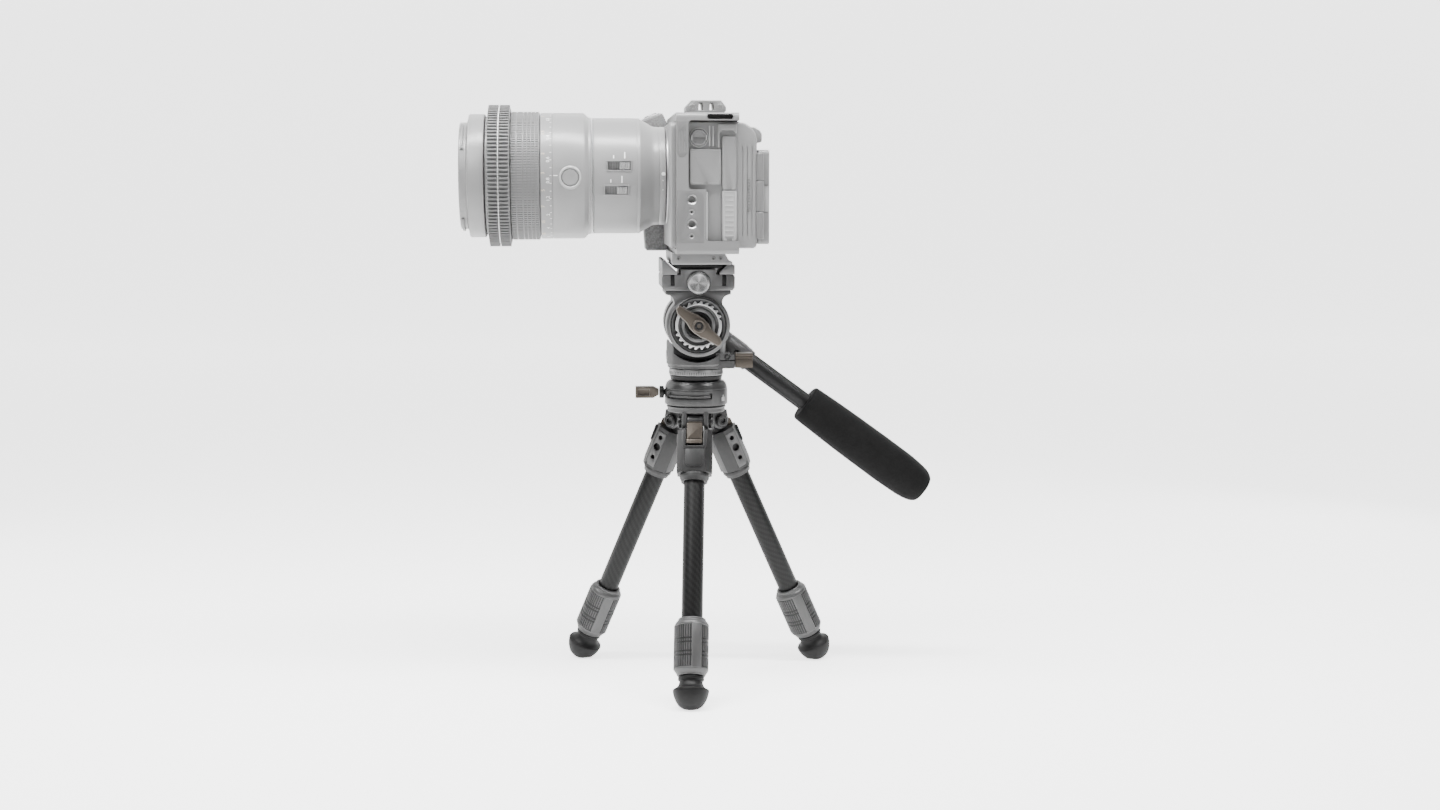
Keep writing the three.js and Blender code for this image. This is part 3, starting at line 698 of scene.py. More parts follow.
def shoulder_block():
    half = [(9, 6.6), (4.6, BLOCK_HALF), (-3, BLOCK_HALF), (-9, 4.6)]
    outline = half + [(x, -y) for x, y in reversed(half)]
    piece = slab("shoulder", outline, -COLLAR_START, -6.9, along="Z")
    cut(piece, peg("room", CHEEK_ROOM, 5.05, 14, "Y", sides=64),
        peg("room", CHEEK_ROOM, -14, -5.05, "Y", sides=64))
    cut(piece, block("slot", (4.6, -5.5, -19), (12, 5.5, 6)))
    foot_cut = slab("slope", [(6.0, -40), (12, -40), (12, -27), (9.2, -30)], -14, 14, along="Y")
    cut(piece, foot_cut)
    tongue = peg("tongue", 5.1, -4.95, 4.95, "Y", sides=64)
    weld(piece, tongue, block("neck", (-5.1, -4.95, -9), (4.4, 4.95, 0)))
    for height, radius in STRIP_HOLES:
        for low, high in ((-14, -8), (8, 14)):
            cut(piece, peg("pit", radius, low, high, "Y", (0.8, 0, height)))
    return cut(piece, peg("bolt hole", BOLT_HOLE, -8, 8, "Y"), peg("tube", 6.6, -60, -13.9))


on_each_leg(soften(shoulder_block(), 0.45, 3), "shoulder", DEEP_METAL, "leg", "leg_shoulder")

collar = turned("collar", [(6.6, -34.9), (8.6, -34.9), (9.2, -35.8), (9.2, -37.4), (8.4, -38.6),
                           (8.2, -SHOULDER_END), (6.6, -SHOULDER_END), (6.6, -34.9)], 72)
on_each_leg(soften(collar, 0.15), "shoulder_collar", DEEP_METAL, "leg")

# A dark plate below the angle tab stands for the tab's shadow on the shoulder: painted shadow.
tab_shadow_outline = [(-5.6, -20.5), (-5.6, -29)] + arc(-2.6, -29, 3.0, 180, 270, 6) \
    + arc(2.6, -29, 3.0, 270, 360, 6) + [(5.6, -20.5)]
panel = slab("panel", tab_shadow_outline, 8.7, 9.25, along="X")
on_each_leg(soften(panel, 0.15), "shoulder_tab_shadow", SHADOW_METAL, "leg")

# %% [markdown]
# ## Side strips and their holes
# Along each side of a shoulder runs a bright strip with three threaded holes for small accessories.
# The strip is one plate, bevelled, and its holes are real holes, so they stay dark from all sides.

# %% Side strips
def side_strip(side):
    low, high = sorted((side * (BLOCK_HALF - 0.1), side * (BLOCK_HALF + 0.35)))
    outline = [(-2.6, -9.6), (4.2, -9.6), (4.2, -31.6), (2.4, -33.4), (-2.6, -33.4)]
    strip = slab("strip", outline, low, high, along="Y")
    for height, radius in STRIP_HOLES:
        cut(strip, peg("hole", radius, low - 2, high + 2, "Y", (0.8, 0, height), 40))
    return soften(strip, 0.12)


for side_sign, side_word in ((1, "far"), (-1, "near")):
    on_each_leg(side_strip(side_sign), f"side_strip_{side_word}", STRIP_METAL, "leg")

# %% [markdown]
# ## Angle lock tabs
# The brown tab between the cheeks is pressed to let the leg take another angle. It sits in a dark
# U-shaped guard. Its top corners are cut off and its foot is a lip for the thumb.

# %% Tab and guard
tab_side = [(5.0, -1.8), (7.0, -1.8), (8.3, -3.6), (8.5, -13.6), (9.3, -14.4), (9.6, -16.9),
            (8.4, -17.0), (7.4, -16.4), (6.6, -14), (5.0, -13)]
tab = slab("tab", tab_side, -4.85, 4.85, along="Y")
for corner in (-1, 1):
    tool = slab("corner", [(corner * 3.2, -1.0), (corner * 6, -1.0), (corner * 6, -4.6)], 0, 14, along="X")
    cut(tab, tool)
cut(tab, block("groove", (8.1, -4.3, -14.2), (9.0, 4.3, -13.5)))
on_each_leg(soften(tab, 0.3, 3), "angle_tab", BRONZE, "tab", "angle_lock_tab")

guard_outline = [(-8.2, -8.4), (-7.6, -18)] + arc(-5.4, -18, 2.2, 180, 270, 5) \
    + arc(5.4, -18, 2.2, 270, 360, 5) + [(8.2, -8.4), (5.45, -8.4), (5.45, -18.4), (-5.45, -18.4),
                                         (-5.45, -8.4)]
guard = slab("guard", guard_outline, 8.6, 9.5, along="X")
on_each_leg(soften(guard, 0.25), "tab_guard", SHADOW_METAL, "leg")

# %% [markdown]
# ## Pivot bolts
# A low black socket screw closes each end of the pivot. The hexagon is sunk into a bevelled head, with
# a washer under it.

# %% Bolts with sunk hexagons
HEAD_LOW = 8.7


def socket_screw(name, profile, hexagon, depth, sides=40):
    """A turned screw head with a hexagon sunk into its top, down to the height that depth gives."""
    top = max(height for _, height in profile)
    return cut(turned(name, profile, sides), peg("hexagon", hexagon, depth, top + 1, sides=6))


def bolt_head(side):
    head = socket_screw("head", [(0, 0), (4.0, 0), (4.0, 1.9), (3.4, 2.5), (0, 2.5)], 1.9, 0.9, 48)
    soften(head, 0.18, 2)
    turn = Matrix.Translation((0, side * HEAD_LOW * MM, 0)) @ Matrix.Rotation(-side * math.pi / 2, 4, "X")
    return lay(head, turn)


shaft = peg("shaft", 2.55, -8.8, 8.8, "Y")
washers = [soften(peg("washer", 3.0, side * 8.5 - 0.15, side * 8.5 + 0.15, "Y"), 0.05) for side in (-1, 1)]
bolt = together("bolt", [bolt_head(1), bolt_head(-1), shaft] + washers)
for side in SIDES:
    bolt_frame = Matrix.Translation(LEG_FRAMES[side].to_translation()) @ Matrix.Rotation(
        math.atan2(-JOINTS[f"leg_fold_{side}"]["axis"][0], JOINTS[f"leg_fold_{side}"]["axis"][1]), 4, "Z")
    twin = copied(bolt, f"bolt_{side}", bolt_frame)
    dress(twin, BOLT_STEEL, "root", f"pivot_bolt_{side}")
bpy.data.objects.remove(bolt)

# %% [markdown]
# ## Carbon tubes and inner legs
# The outer tube is a drawn ring profile, turned. The inner leg slides in it, and is seen only when the
# leg is pulled out, so it is a plain turned rod with a stop ring.

# %% Tubes
TUBE_RADIUS = 6.5
outer = turned("tube", [(5.25, -TUBE_TOP), (TUBE_RADIUS, -TUBE_TOP), (TUBE_RADIUS, -TUBE_END),
                        (5.25, -TUBE_END), (5.25, -TUBE_TOP)], 96)
CLOTH = {side: carbon(f"carbon {side}", "carbon", LEG_FRAMES[side], TUBE_RADIUS) for side in SIDES}
on_each_leg(soften(outer, 0.2), "tube", CLOTH.get, "leg", "leg_tube")
INNER_TOP, INNER_END = down_leg("inner_leg_front")
inner = turned("inner", [(0, -INNER_TOP), (4.3, -INNER_TOP), (4.9, -INNER_TOP - 0.6), (4.9, -INNER_END + 0.4),
                         (4.5, -INNER_END), (0, -INNER_END)], 72)
on_each_leg(soften(inner, 0.1), "inner_leg", CLOTH.get, "inner", "inner_leg")

# %% [markdown]
# ## Twist locks
# A twist lock is a turned barrel whose grip has fine ribs along it, crossed by two pairs of grooves, with
# three smooth flats for the fingers. The ribs are one toothed outline pulled up in five bands, and
# the grooves are the gaps between the bands, over a dark sleeve that paints shade into the gaps. The
# flats are laid on as facets.

# %% Twist lock
LOCK_LENGTH = LOCK_END - LOCK_TOP
LOCK_R = 10.45
RIBS = 42
FLAT_TURNS = (math.radians(20), math.radians(140), math.radians(260))


def lock_core():
    top, end = -LOCK_TOP, -LOCK_END
    profile = [(5.3, end), (8.4, end), (8.8, end + 0.5), (8.8, end + 1.0), (9.7, end + 2.2),
               (LOCK_R, end + 3.4), (LOCK_R, end + 4.2), (9.9, end + 4.6), (9.9, top - 5.2),
               (LOCK_R, top - 4.8), (LOCK_R, top - 3.9), (9.6, top - 2.4), (8.9, top - 2.0),
               (8.9, top - 1.6), (8.5, top - 1.5), (8.5, top - 0.5), (8.1, top), (6.9, top), (6.9, top - 3),
               (5.3, top - 20), (5.3, end)]
    return soften(turned("lock", profile, 96), 0.12)


def lock_grip():
    bands = ((4.8, 10.8), (12.1, 13.2), (14.5, 18.8), (20.1, 21.2), (22.5, LOCK_LENGTH - 5.4))
    made = []
    for low, high in bands:
        outline = gear_outline(9.8, LOCK_R, RIBS, land=0.4, flank=0.12)
        made.append(slab("band", outline, -LOCK_END + low, -LOCK_END + high, along="Z"))
    return together("ribs", made)


def lock_flats():
    flats = []
    for turn in FLAT_TURNS:
        flat = slab("flat", [(9.6, -3.1), (10.35, -3.1), (10.62, -2.5), (10.62, 2.5), (10.35, 3.1),
                             (9.6, 3.1)],
                    -LOCK_END + 3.6, -LOCK_END + LOCK_LENGTH - 4.2, along="Z")
        flats.append(lay(soften(flat, 0.25), Matrix.Rotation(turn, 4, "Z")))
    return together("flats", flats)


# The sleeve is dark so that the gaps between ribs and bands look dark: painted shade.
lock_shade_sleeve = turned("lock_shade_sleeve", [(9.6, -LOCK_END + 4.7), (9.97, -LOCK_END + 4.7), (9.97, -LOCK_TOP - 5.3),
                                     (9.6, -LOCK_TOP - 5.3), (9.6, -LOCK_END + 4.7)], 96)
on_each_leg(lock_shade_sleeve, "twist_lock_shade_sleeve", SHADOW_METAL, "lock")
on_each_leg(lock_core(), "twist_lock", LOCK_METAL, "lock", "twist_lock")
on_each_leg(lock_grip(), "twist_lock_ribs", LOCK_METAL, "lock")
on_each_leg(lock_flats(), "twist_lock_flats", LOCK_METAL, "lock")

# %% [markdown]
# ## Rubber feet
# A foot is moulded rubber: a short neck, a waist, and a mushroom that stands on its rounded edge. The
# profile is an acorn under a flared neck, turned, and the floor presses it flat where it stands.

# %% Feet
FOOT_R = 11.1
FOOT_TOP = -LOCK_END - 0.35
BALL = -172.7


def foot():
    under = arc(0, BALL, FOOT_R, -88, -48, 10)
    belly = [(8.6, BALL - 6.6), (9.7, BALL - 4.6), (10.5, BALL - 2.4), (10.95, BALL - 0.4)]
    lip = arc(10.1, BALL + 0.6, 1.0, 0, 80, 5)
    flare = [(9.2, BALL + 2.2), (8.2, BALL + 3.1), (7.5, BALL + 4.3), (7.1, BALL + 5.8), (7.1, BALL + 6.6)]
    neck = [(7.8, BALL + 7.0), (8.0, BALL + 7.5), (8.0, FOOT_TOP - 0.6), (7.5, FOOT_TOP), (0, FOOT_TOP)]
    profile = [(0, BALL - FOOT_R)] + under + belly + lip + flare + neck
    return turned("foot", profile, 80)


def pressed_foot():
    """The foot's lowest points rest on the floor, so what would sink below is moved up to it."""
    piece = foot()
    back = LEG_FRAMES["front"]
    for vertex in piece.data.vertices:
        there = back @ vertex.co
        if there.z < 0:
            there.z = 0
            vertex.co = back.inverted() @ there
    return piece


on_each_leg(soften(pressed_foot(), 0.1), "rubber_foot", FOOT_RUBBER, "inner", "foot")

# %% [markdown]
# ## Leg hub
# The hub is a turned ring with two cheeks hanging on each side of every leg. One cheek is a plate with
# a round end, drawn as an outline. It is copied to both sides and to the three legs, then welded on.

# %% Hub ring and cheeks
def fit(piece, material, body, *nodes, slot=None, frame_matrix=HERE):
    """A piece modelled about the tripod's axis is laid in the frame and dressed."""
    return dress(lay(piece, frame_matrix), material, body, *nodes, slot=slot)


PIVOT_OUT = 13.5
PIVOT_UP = 165.3
AZIMUTHS = [math.radians(-95.5 + 120 * i) for i in range(3)]
cheek_outline = [(7.6, 172)] + arc(PIVOT_OUT, PIVOT_UP, 5.6, -150, 20, 12) + [(17.8, 172)]
cheeks = []
for low in (-8.4, 5.4):
    cheek = slab("cheek", cheek_outline, low, low + 3.0, along="Y")
    cheeks.append(cut(cheek, peg("bolt hole", 2.8, -12, 12, "Y", (PIVOT_OUT, 0, PIVOT_UP))))
pair = soften(together("cheeks", cheeks), 0.35, 3)
for index, azimuth in enumerate(AZIMUTHS):
    twin = copied(pair, f"cheeks_{index}", HERE @ Matrix.Rotation(azimuth, 4, "Z"))
    dress(twin, GREY_METAL, "root")
bpy.data.objects.remove(pair)

hub = turned("hub", [(0, 162), (3.4, 162), (4, 162.6), (4, 170), (5.5, 171), (17.6, 171), (18.3, 171.7),
                     (18.3, 173.6), (18.9, 174.5), (18.9, 175.0), (0, 175.0)], 128)
fit(soften(hub, 0.25), GREY_METAL, "root", "leg_hub")

# %% [markdown]
# ## Levelling bowl
# The bowl is one turned barrel: a bevelled shoulder above a straight wall, with fine steps turned in
# it. In front a long shallow slot is milled into the wall, and a paler bar lies along its bottom.

# %% Bowl
BOWL_KNOB_Z = 183.6
BOWL = [(14.2, 175.35), (18.2, 175.35), (18.4, 175.9), (19.7, 176.1), (20, 176.6), (20, 185.6),
        (19.75, 185.8), (19.75, 186.2), (19.9, 186.4), (18.9, 189.6), (17.5, 191), (15.2, 191), (14.2, 190),
        (14.2, 175.35)]
bowl = turned("bowl", BOWL, 160)
slot = turned("slot", [(18.3, 180.3), (21, 180.3), (21, 184.5), (18.3, 184.5), (18.3, 180.3)], 128)
boolean(slot, slab("slot reach", rounded((-30, 180.25), (9.2, 184.55), 1.5), -30, -6.5, along="Y"),
        "INTERSECT")
cut(bowl, slot, peg("knob hole", 2.3, -30, -12, "X", (0, 0, BOWL_KNOB_Z)))
bar = turned("slot_bar", [(18.0, 180.9), (19.0, 180.9), (19.3, 181.3), (19.3, 182.2), (19.0, 182.6),
                          (18.0, 182.6), (18.0, 180.9)], 128)
boolean(bar, block("bar reach", (-30, -30, 180), (8.2, -7.2, 184)), "INTERSECT")
BOWL_METAL = blasted("bowl grey", "grey_alloy", 64, grain=0.3, rough=0.34, metal=0.65)
fit(soften(bowl, 0.3, 3), BOWL_METAL, "root", "bowl_housing")
fit(soften(bar, 0.2), GREY_METAL, "root")

# Index marks: three short engraved lines at the right of the bowl, painted white.
marks = []
for turn in (-38, -34.5, -31):
    mark = block("mark", (19.95, -0.22, 178.6), (20.12, 0.22, 181.2 if turn != -34.5 else 182.6))
    marks.append(lay(mark, Matrix.Rotation(math.radians(turn), 4, "Z")))
fit(together("bowl_marks", marks), ink("bowl marks", "grey_alloy", 205), "root")

# %% [markdown]
# ## Knobs
# Two brown knobs lock the bowl and the panning. Each is a block with narrow grooves and a short
# black stud. The bowl's knob is a flat wing whose inner end is cut at a slant, with a hollow in
# its outer face.

# %% Bowl knob
wing_outline = [(-38.7, 180.0), (-27.6, 180.0), (-24.0, 182.0), (-24.0, 185.6), (-27.4, 187.2),
                (-38.7, 187.2)]
wing = slab("bowl_knob", wing_outline, -3.7, 3.7, along="Y")
for side in (-1, 1):
    cut(wing, block("thumb hollow", (-37.2, side * 3.3 - 0.7, 181.8), (-29.8, side * 3.3 + 0.7, 185.6)))
cut(wing, block("groove", (-40, -0.5, 186.8), (-26, 0.5, 188)))
stud = turned("stud", [(0, 12.4), (1.9, 12.4), (1.9, 20.4), (3.7, 20.7), (3.9, 21.1), (3.9, 23.2),
                       (3.4, 23.5), (0, 23.5)], 48)
lay(stud, Matrix.Translation((0, 0, BOWL_KNOB_Z * MM)) @ Matrix.Rotation(-math.pi / 2, 4, "Y"))
fit(soften(wing, 0.4, 3), BRONZE, "bowl_knob", "bowl_lock_knob")
fit(soften(stud, 0.15), BLACK_METAL, "bowl_knob")

# %% Pan knob
PAN_KNOB = Vector((0, -6, 204.2))
pan_block = block("pan_knob", (24.5, -4.6, -4.6), (35.4, 4.6, 4.6))
for rise in (2.3, 0.8):
    cut(pan_block, block("groove", (23, -5.4, rise), (40, -3.9, rise + 0.7)))
    cut(pan_block, block("groove", (23, 3.9, rise), (40, 5.4, rise + 0.7)))
cut(pan_block, block("groove", (35.0, -6, 0.9), (37, 6, 1.45)))
lay(soften(pan_block, 0.45, 3), Matrix.Translation(PAN_KNOB * MM))
pan_stud = turned("pan_stud", [(0, 16.2), (2, 16.2), (2, 23.4), (3.1, 23.6), (3.1, 24.6), (0, 24.6)], 40)
lay(pan_stud, Matrix.Translation(PAN_KNOB * MM) @ Matrix.Rotation(math.pi / 2, 4, "Y"))
fit(pan_block, BRONZE, "pan_knob", "pan_lock_knob")
fit(soften(pan_stud, 0.12), BLACK_METAL, "pan_knob")

# %% [markdown]
# ## Head base and degree ring
# A black seat sits in the bowl. Over it lies the degree ring, bright metal engraved with short lines
# every five degrees and longer ones every thirty, which stay still while the head pans above them.

# %% Seat, cone and degree ring
seat = turned("seat", [(0, 180.3), (12, 180.3), (13.9, 182.6), (13.9, 191.2), (15.9, 191.6), (16.4, 192.2),
                       (16.4, 193.0), (16.9, 194.5), (9.6, 194.5), (9.6, 203), (0, 203)], 96)
fit(soften(seat, 0.12), BLACK_METAL, "root", "head_base")

ring = turned("degree_ring", [(10, 194.8), (16.9, 194.8), (17.2, 195.2), (17.2, 198.6), (16.9, 199.0),
                              (10, 199.0), (10, 194.8)], 160)
fit(soften(ring, 0.1), lathed("degree ring", "silver_alloy", 128), "root", "pan_scale_ring")
ticks = []
for step in range(72):
    tall = 3.0 if step % 6 == 0 else 1.8
    tick = block("tick", (17.05, -0.17, 195.4), (17.27, 0.17, 195.4 + tall))
    ticks.append(lay(tick, Matrix.Rotation(math.radians(step * 5 + 2.5), 4, "Z")))
fit(together("degree_lines", ticks), ink("engraved lines", "silver_alloy", 30), "root")

# %% [markdown]
# ## Pan housing
# The housing is a cup with a saddle cut across it, in which the tilting drum hangs from a middle web.
# On its near right a split lug clamps the pan, and its screw goes into the bronze knob.

# %% Pan housing
DRUM_R = 20.0
CRESCENT_R = 24.0
TILT_Z = TILT_AXIS.z
cup = turned("pan_housing", [(10, 199.3), (17.6, 199.3), (18.1, 199.8), (18.1, 201.0), (18.9, 202.2),
                             (18.9, 216), (18.4, 217), (0, 217), (0, 203.3), (10, 203.3), (10, 199.3)], 128)
cut(cup, peg("saddle", DRUM_R + 0.6, -30, 30, "Y", (0, 0, TILT_Z), 96))
cut(cup, peg("crescent", CRESCENT_R, -30, -11.4, "Y", (0, 0, TILT_Z), 96))
weld(cup, block("web", (-8.5, -8, 204), (8.5, 8, TILT_Z)), peg("eye", 11.5, -8, 8, "Y", (0, 0, TILT_Z), 72))
lug = block("lug", (12, -12, 199.3), (21, 0, 209))
weld(lug, block("lug end", (14, -11, 199.3), (23.9, -1, 207.5)))
cut(lug, peg("saddle", DRUM_R + 0.6, -30, 30, "Y", (0, 0, TILT_Z), 96))
weld(cup, lug)
cut(cup, block("split", (14.5, -13, 203.9), (26, 1, 204.6)),
    peg("screw hole", 2.4, 15, 30, "X", PAN_KNOB))
cut(cup, peg("axle hole", 5.1, -20, 20, "Y", (0, 0, TILT_Z), 48), peg("pivot", 9.8, 198, 203.4, "Z"))
cut(cup, block("sweep", (2, 7.3, 211), (30, 30, 220)))
for turn in range(27, 52, 6):
    sweep = peg("sweep", 8.8, 15, 60, "X")
    lay(sweep, Matrix.Translation(Vector((0, 16, TILT_Z)) * MM) @ Matrix.Rotation(math.radians(turn), 4, "Y"))
    cut(cup, sweep)
PAN_METAL = blasted("pan grey", "dark_alloy", 76, grain=0.3, rough=0.36, metal=0.6)
fit(soften(cup, 0.3, 2), PAN_METAL, "pan", "pan_housing")

# A thin black sheet closes the back of the recess under the drum, so that the crescent there is dark: painted
# shade.
crescent = peg("crescent", CRESCENT_R - 0.1, -11.7, -11.3, "Y", (0, 0, TILT_Z), 96)
cut(crescent, peg("drum room", DRUM_R + 0.7, -30, 30, "Y", (0, 0, TILT_Z), 96))
boolean(crescent, peg("inside", 18.6, 199, 217, "Z"), "INTERSECT")
fit(soften(crescent, 0.05), BLACK_METAL, "pan")

lug_bolt = socket_screw("lug_bolt", [(0, 0), (2.0, 0), (2.0, 1.0), (1.7, 1.3), (0, 1.3)], 1.0, 0.5)
lay(lug_bolt, Matrix.Translation(Vector((19.2, -11.2, 206.4)) * MM) @ Matrix.Rotation(math.pi / 2, 4, "X"))
fit(soften(lug_bolt, 0.1), BOLT_STEEL, "pan")

# A small bubble level is let into the housing's left side.
level_ring = turned("level_ring", [(2.2, 0), (3.3, 0), (3.3, 0.35), (3.0, 0.6), (2.4, 0.6), (2.2, 0.35),
                                   (2.2, 0)], 48)
level_glass = turned("level_glass", [(0, 0), (2.25, 0), (2.25, 0.2), (1.4, 0.42), (0, 0.5)], 48)
LEVEL_TURN = Matrix.Translation(Vector((-18.55, 0, 207.6)) * MM) @ Matrix.Rotation(-math.pi / 2, 4, "Y")
fit(soften(lay(level_ring, LEVEL_TURN), 0.08), SILVER, "pan")


def level_fluid():
    shop = Shop("level fluid", "dark_alloy")
    x, y, _ = shop.place(HERE @ LEVEL_TURN)
    radius = shop.math("SQRT", x * x + y * y)
    away = shop.math("SQRT", (x - 0.3) * (x - 0.3) + (y - 0.2) * (y - 0.2))
    bubble = away < 0.75
    line = abs(radius - 1.15) < 0.1
    fluid = shop.mix(shop.noise(1.5), grey(150, 0.1), grey(176, 0.06))
    color = shop.mix(line, shop.mix(bubble * 0.7, fluid, grey(225)), grey(30))
    return shop.finish(color=color, rough=0.12 + line * 0.2, coat=0.8, coat_rough=0.05)


fit(soften(lay(level_glass, LEVEL_TURN), 0.05), level_fluid(), "pan")

# %% [markdown]
# ## Tilting drum and platform
# The drum turns on the tilt axis. Its near end is a dish inside two brushed bands, and its neck
# flares up to the platform that carries the clamp. The drum is turned first, then the neck's outline
# is pulled through it, and the dish, the web's room and the knob's pocket are cut away.

# %% Drum, neck and platform
HANDLE_LEAN = 36.6
HANDLE_Y = 16
DRUM_FRAME = Matrix.Translation((0, 0, TILT_Z * MM)) @ Matrix.Rotation(math.pi / 2, 4, "X")
NEAR = HERE @ DRUM_FRAME
drum_profile = [(0, -28), (17.6, -28), (18.2, -27.3), (18.4, -26.4), (19.9, -26.0), (20, -25.6), (20, 25.4),
                (19.8, 25.8), (18.5, 26.2), (18.3, 26.8), (18.1, 27.6), (17.7, 28), (0, 28)]
drum = turned("drum", drum_profile, 160)
neck_half = [(15, 8), (15, 14.8), (15.3, 16.2), (16.2, 17.6), (17.6, 18.6), (20.3, 19.3), (20.4, 21.3)]
neck = slab("neck", [(-x, z) for x, z in reversed(neck_half)] + neck_half, -26, 26, along="Z")
weld(drum, neck)
cut(drum, block("web room", (-26, -26, -8.3), (26, 14, 8.3)), peg("axle hole", 5.1, -27.2, 30))
cut(drum, peg("dish", 16.2, 24, 32, "Z", sides=128))
cut(drum, peg("knob pocket", 7.4, 24.2, 32, "Z", (0, 26.6, 0), 72),
    peg("knob stem", 3.3, 8, 30, "Z", (0, 26.6, 0)))
seat_tool = peg("socket seat", 9, 17.2, 30, "X")
lay(seat_tool, Matrix.Translation((0, 0, -HANDLE_Y * MM))
    @ Matrix.Rotation(math.radians(-HANDLE_LEAN), 4, "Z"))
cut(drum, seat_tool)
DRUM_METAL = blasted("drum grey", "grey_alloy", 88, matrix=NEAR, grain=0.3, rough=0.34, metal=0.65)
fit(soften(drum, 0.25, 2), DRUM_METAL, "tilt", "tilt_platform", frame_matrix=NEAR)


def band(name, inner, outer, low, high, rise=0.12):
    """A flat turned band with bevelled rims, facing the near side."""
    profile = [(inner, low), (outer, low), (outer, high - rise), (outer - rise, high), (inner + rise, high),
               (inner, high - rise), (inner, low)]
    return soften(turned(name, profile, 144), 0.05)


def brushed(name, slot, level, matrix, spread=26, rough=0.26):
    """Turned faces: fine rings, and a painted reflection of bright and dark rays that change with the angle.
    """
    shop = Shop(name, slot)
    x, y, z = shop.place(matrix)
    radius = shop.math("SQRT", x * x + y * y)
    angle = shop.math("ARCTAN2", y, x)
    # Painted reflection: the bow-tie of light that circular brushing shows, fixed by the angle.
    rays = shop.math("COSINE", angle * 4 + 0.6) * 0.5 + 0.5
    fine = shop.noise(0.1, 2.0, vector=rings(shop, radius, z))
    shade = (rays * rays * 0.55 + fine * 0.45).clamp()
    base = shop.mix(shade, grey(level - spread), grey(min(level + spread, 245)))
    # Outer rims are lightened for wear and as a painted highlight.
    wear_and_painted_light = shop.mix(shop.wear_and_painted_light() * 0.7, base, grey(min(level + 60, 245)))
    shop.bump(fine, 0.01, 0.7)
    return shop.finish(color=wear_and_painted_light, rough=rough + fine * 0.12, metal=0.8)


BAND_METAL = brushed("brushed band", "grey_alloy", 112, NEAR, 24, 0.28)
fit(band("outer_band", 16.6, 17.7, 27.0, 28.0), BAND_METAL, "tilt", frame_matrix=NEAR)
fit(band("dish_floor_band", 8.2, 10.9, 24.0, 25.9, 0.5), BAND_METAL, "tilt", frame_matrix=NEAR)
dish_cone = turned("dish_cone", [(5.4, 23.9), (8.2, 23.9), (8.2, 24.9), (7.2, 25.1), (5.6, 24.3),
                                 (5.4, 23.9)], 128)
fit(soften(dish_cone, 0.1), BLACK_METAL, "tilt", frame_matrix=NEAR)
far_disc = turned("far_disc", [(0, -28.6), (6.2, -28.6), (6.5, -28.3), (6.5, -28.1), (14.8, -28.1),
                               (15.0, -28.5), (16.2, -28.5), (16.4, -28.2), (16.4, -26), (0, -26)], 128)
cut(far_disc, peg("hexagon", 3.0, -30, -28.0, sides=6))
fit(soften(far_disc, 0.15), PAN_METAL, "tilt", frame_matrix=NEAR)

# %% [markdown]
# ## Ratchet ring
# The bright ring has saw teeth in two runs, at the top right and the bottom left, and smooth arcs
# between. One outline goes round it, and only the two runs get teeth.

# %% Ratchet ring
def ratchet_outline():
    points = []
    for tooth in range(24):
        start = 15.0 * tooth
        toothed = 15 <= start < 135 or 195 <= start < 320
        if toothed:
            shares = ((0.0, 13.6), (0.3, 13.6), (0.42, 15.2), (0.62, 15.2), (1.0, 13.6))
        else:
            shares = ((0.0, 14.5), (0.25, 14.5), (0.5, 14.5), (0.75, 14.5), (1.0, 14.5))
        for share, radius in shares[:-1]:
            angle = math.radians(start + share * 15)
            points.append((radius * math.cos(angle), radius * math.sin(angle)))
    return points


saw = slab("ratchet_ring", ratchet_outline(), 24.4, 27.5, along="Z")
cut(saw, peg("bore", 12.8, 20, 30, "Z", sides=128))
RATCHET_METAL = brushed("ratchet silver", "silver_alloy", 184, NEAR, 24, 0.3)
fit(soften(saw, 0.16, 2), RATCHET_METAL, "tilt", "ratchet_ring", frame_matrix=NEAR)

# %% [markdown]
# ## Tilt lever and axle
# The lever is a slim spindle of brown metal across a round hub, with a socket screw in its middle. Its
# edges are bevelled broadly, which gives each side of the blade its own shade.

# %% Lever, screw and axle
blade_half = [(17.9, 0.4), (17.9, -2.2), (16.4, -3.0), (9.2, -3.9), (5.2, -5.1), (0, -5.4), (-3.6, -4.9),
              (-7.4, -3.4), (-15.2, -2.5)]
blade = slab("lever", blade_half + [(-x, -y) for x, y in blade_half], 30.4, 33.2, along="Z")
soften(blade, 0.7, 3, 50)
lever_hub = turned("lever_hub", [(2.9, 25.5), (4.3, 25.5), (4.3, 33.4), (4.0, 33.9), (3.4, 34.1), (2.9, 33.9),
                                 (2.9, 25.5)], 64)
lever = together("lever", [blade, soften(lever_hub, 0.12)])
lay(lever, Matrix.Rotation(math.radians(-38), 4, "Z"))
fit(lever, BRONZE, "tilt_lever", "tilt_lever", frame_matrix=NEAR)
screw_profile = [(0, 27), (2.8, 27), (2.8, 33.0), (2.5, 33.4), (0, 33.4)]
lever_screw = socket_screw("lever_screw", screw_profile, 1.35, 32.0, 48)
fit(soften(lever_screw, 0.12), BOLT_STEEL, "tilt_lever", frame_matrix=NEAR)
axle = turned("axle", [(0, -27), (4.4, -27), (5, -26.4), (5, 23), (2.4, 23.2), (2.4, 26.8), (0, 26.8)], 48)
fit(soften(axle, 0.12), SILVER, "tilt", "tilt_axle", frame_matrix=NEAR)

# %% [markdown]
# ## Quick-release clamp
# The clamp is a bar with an ear at each end, cut from the middle block by gaps that black blocks fill
# as painted shade. Two jaws with slanting faces hold the camera's plate, and a bright turned knob
# closes them.

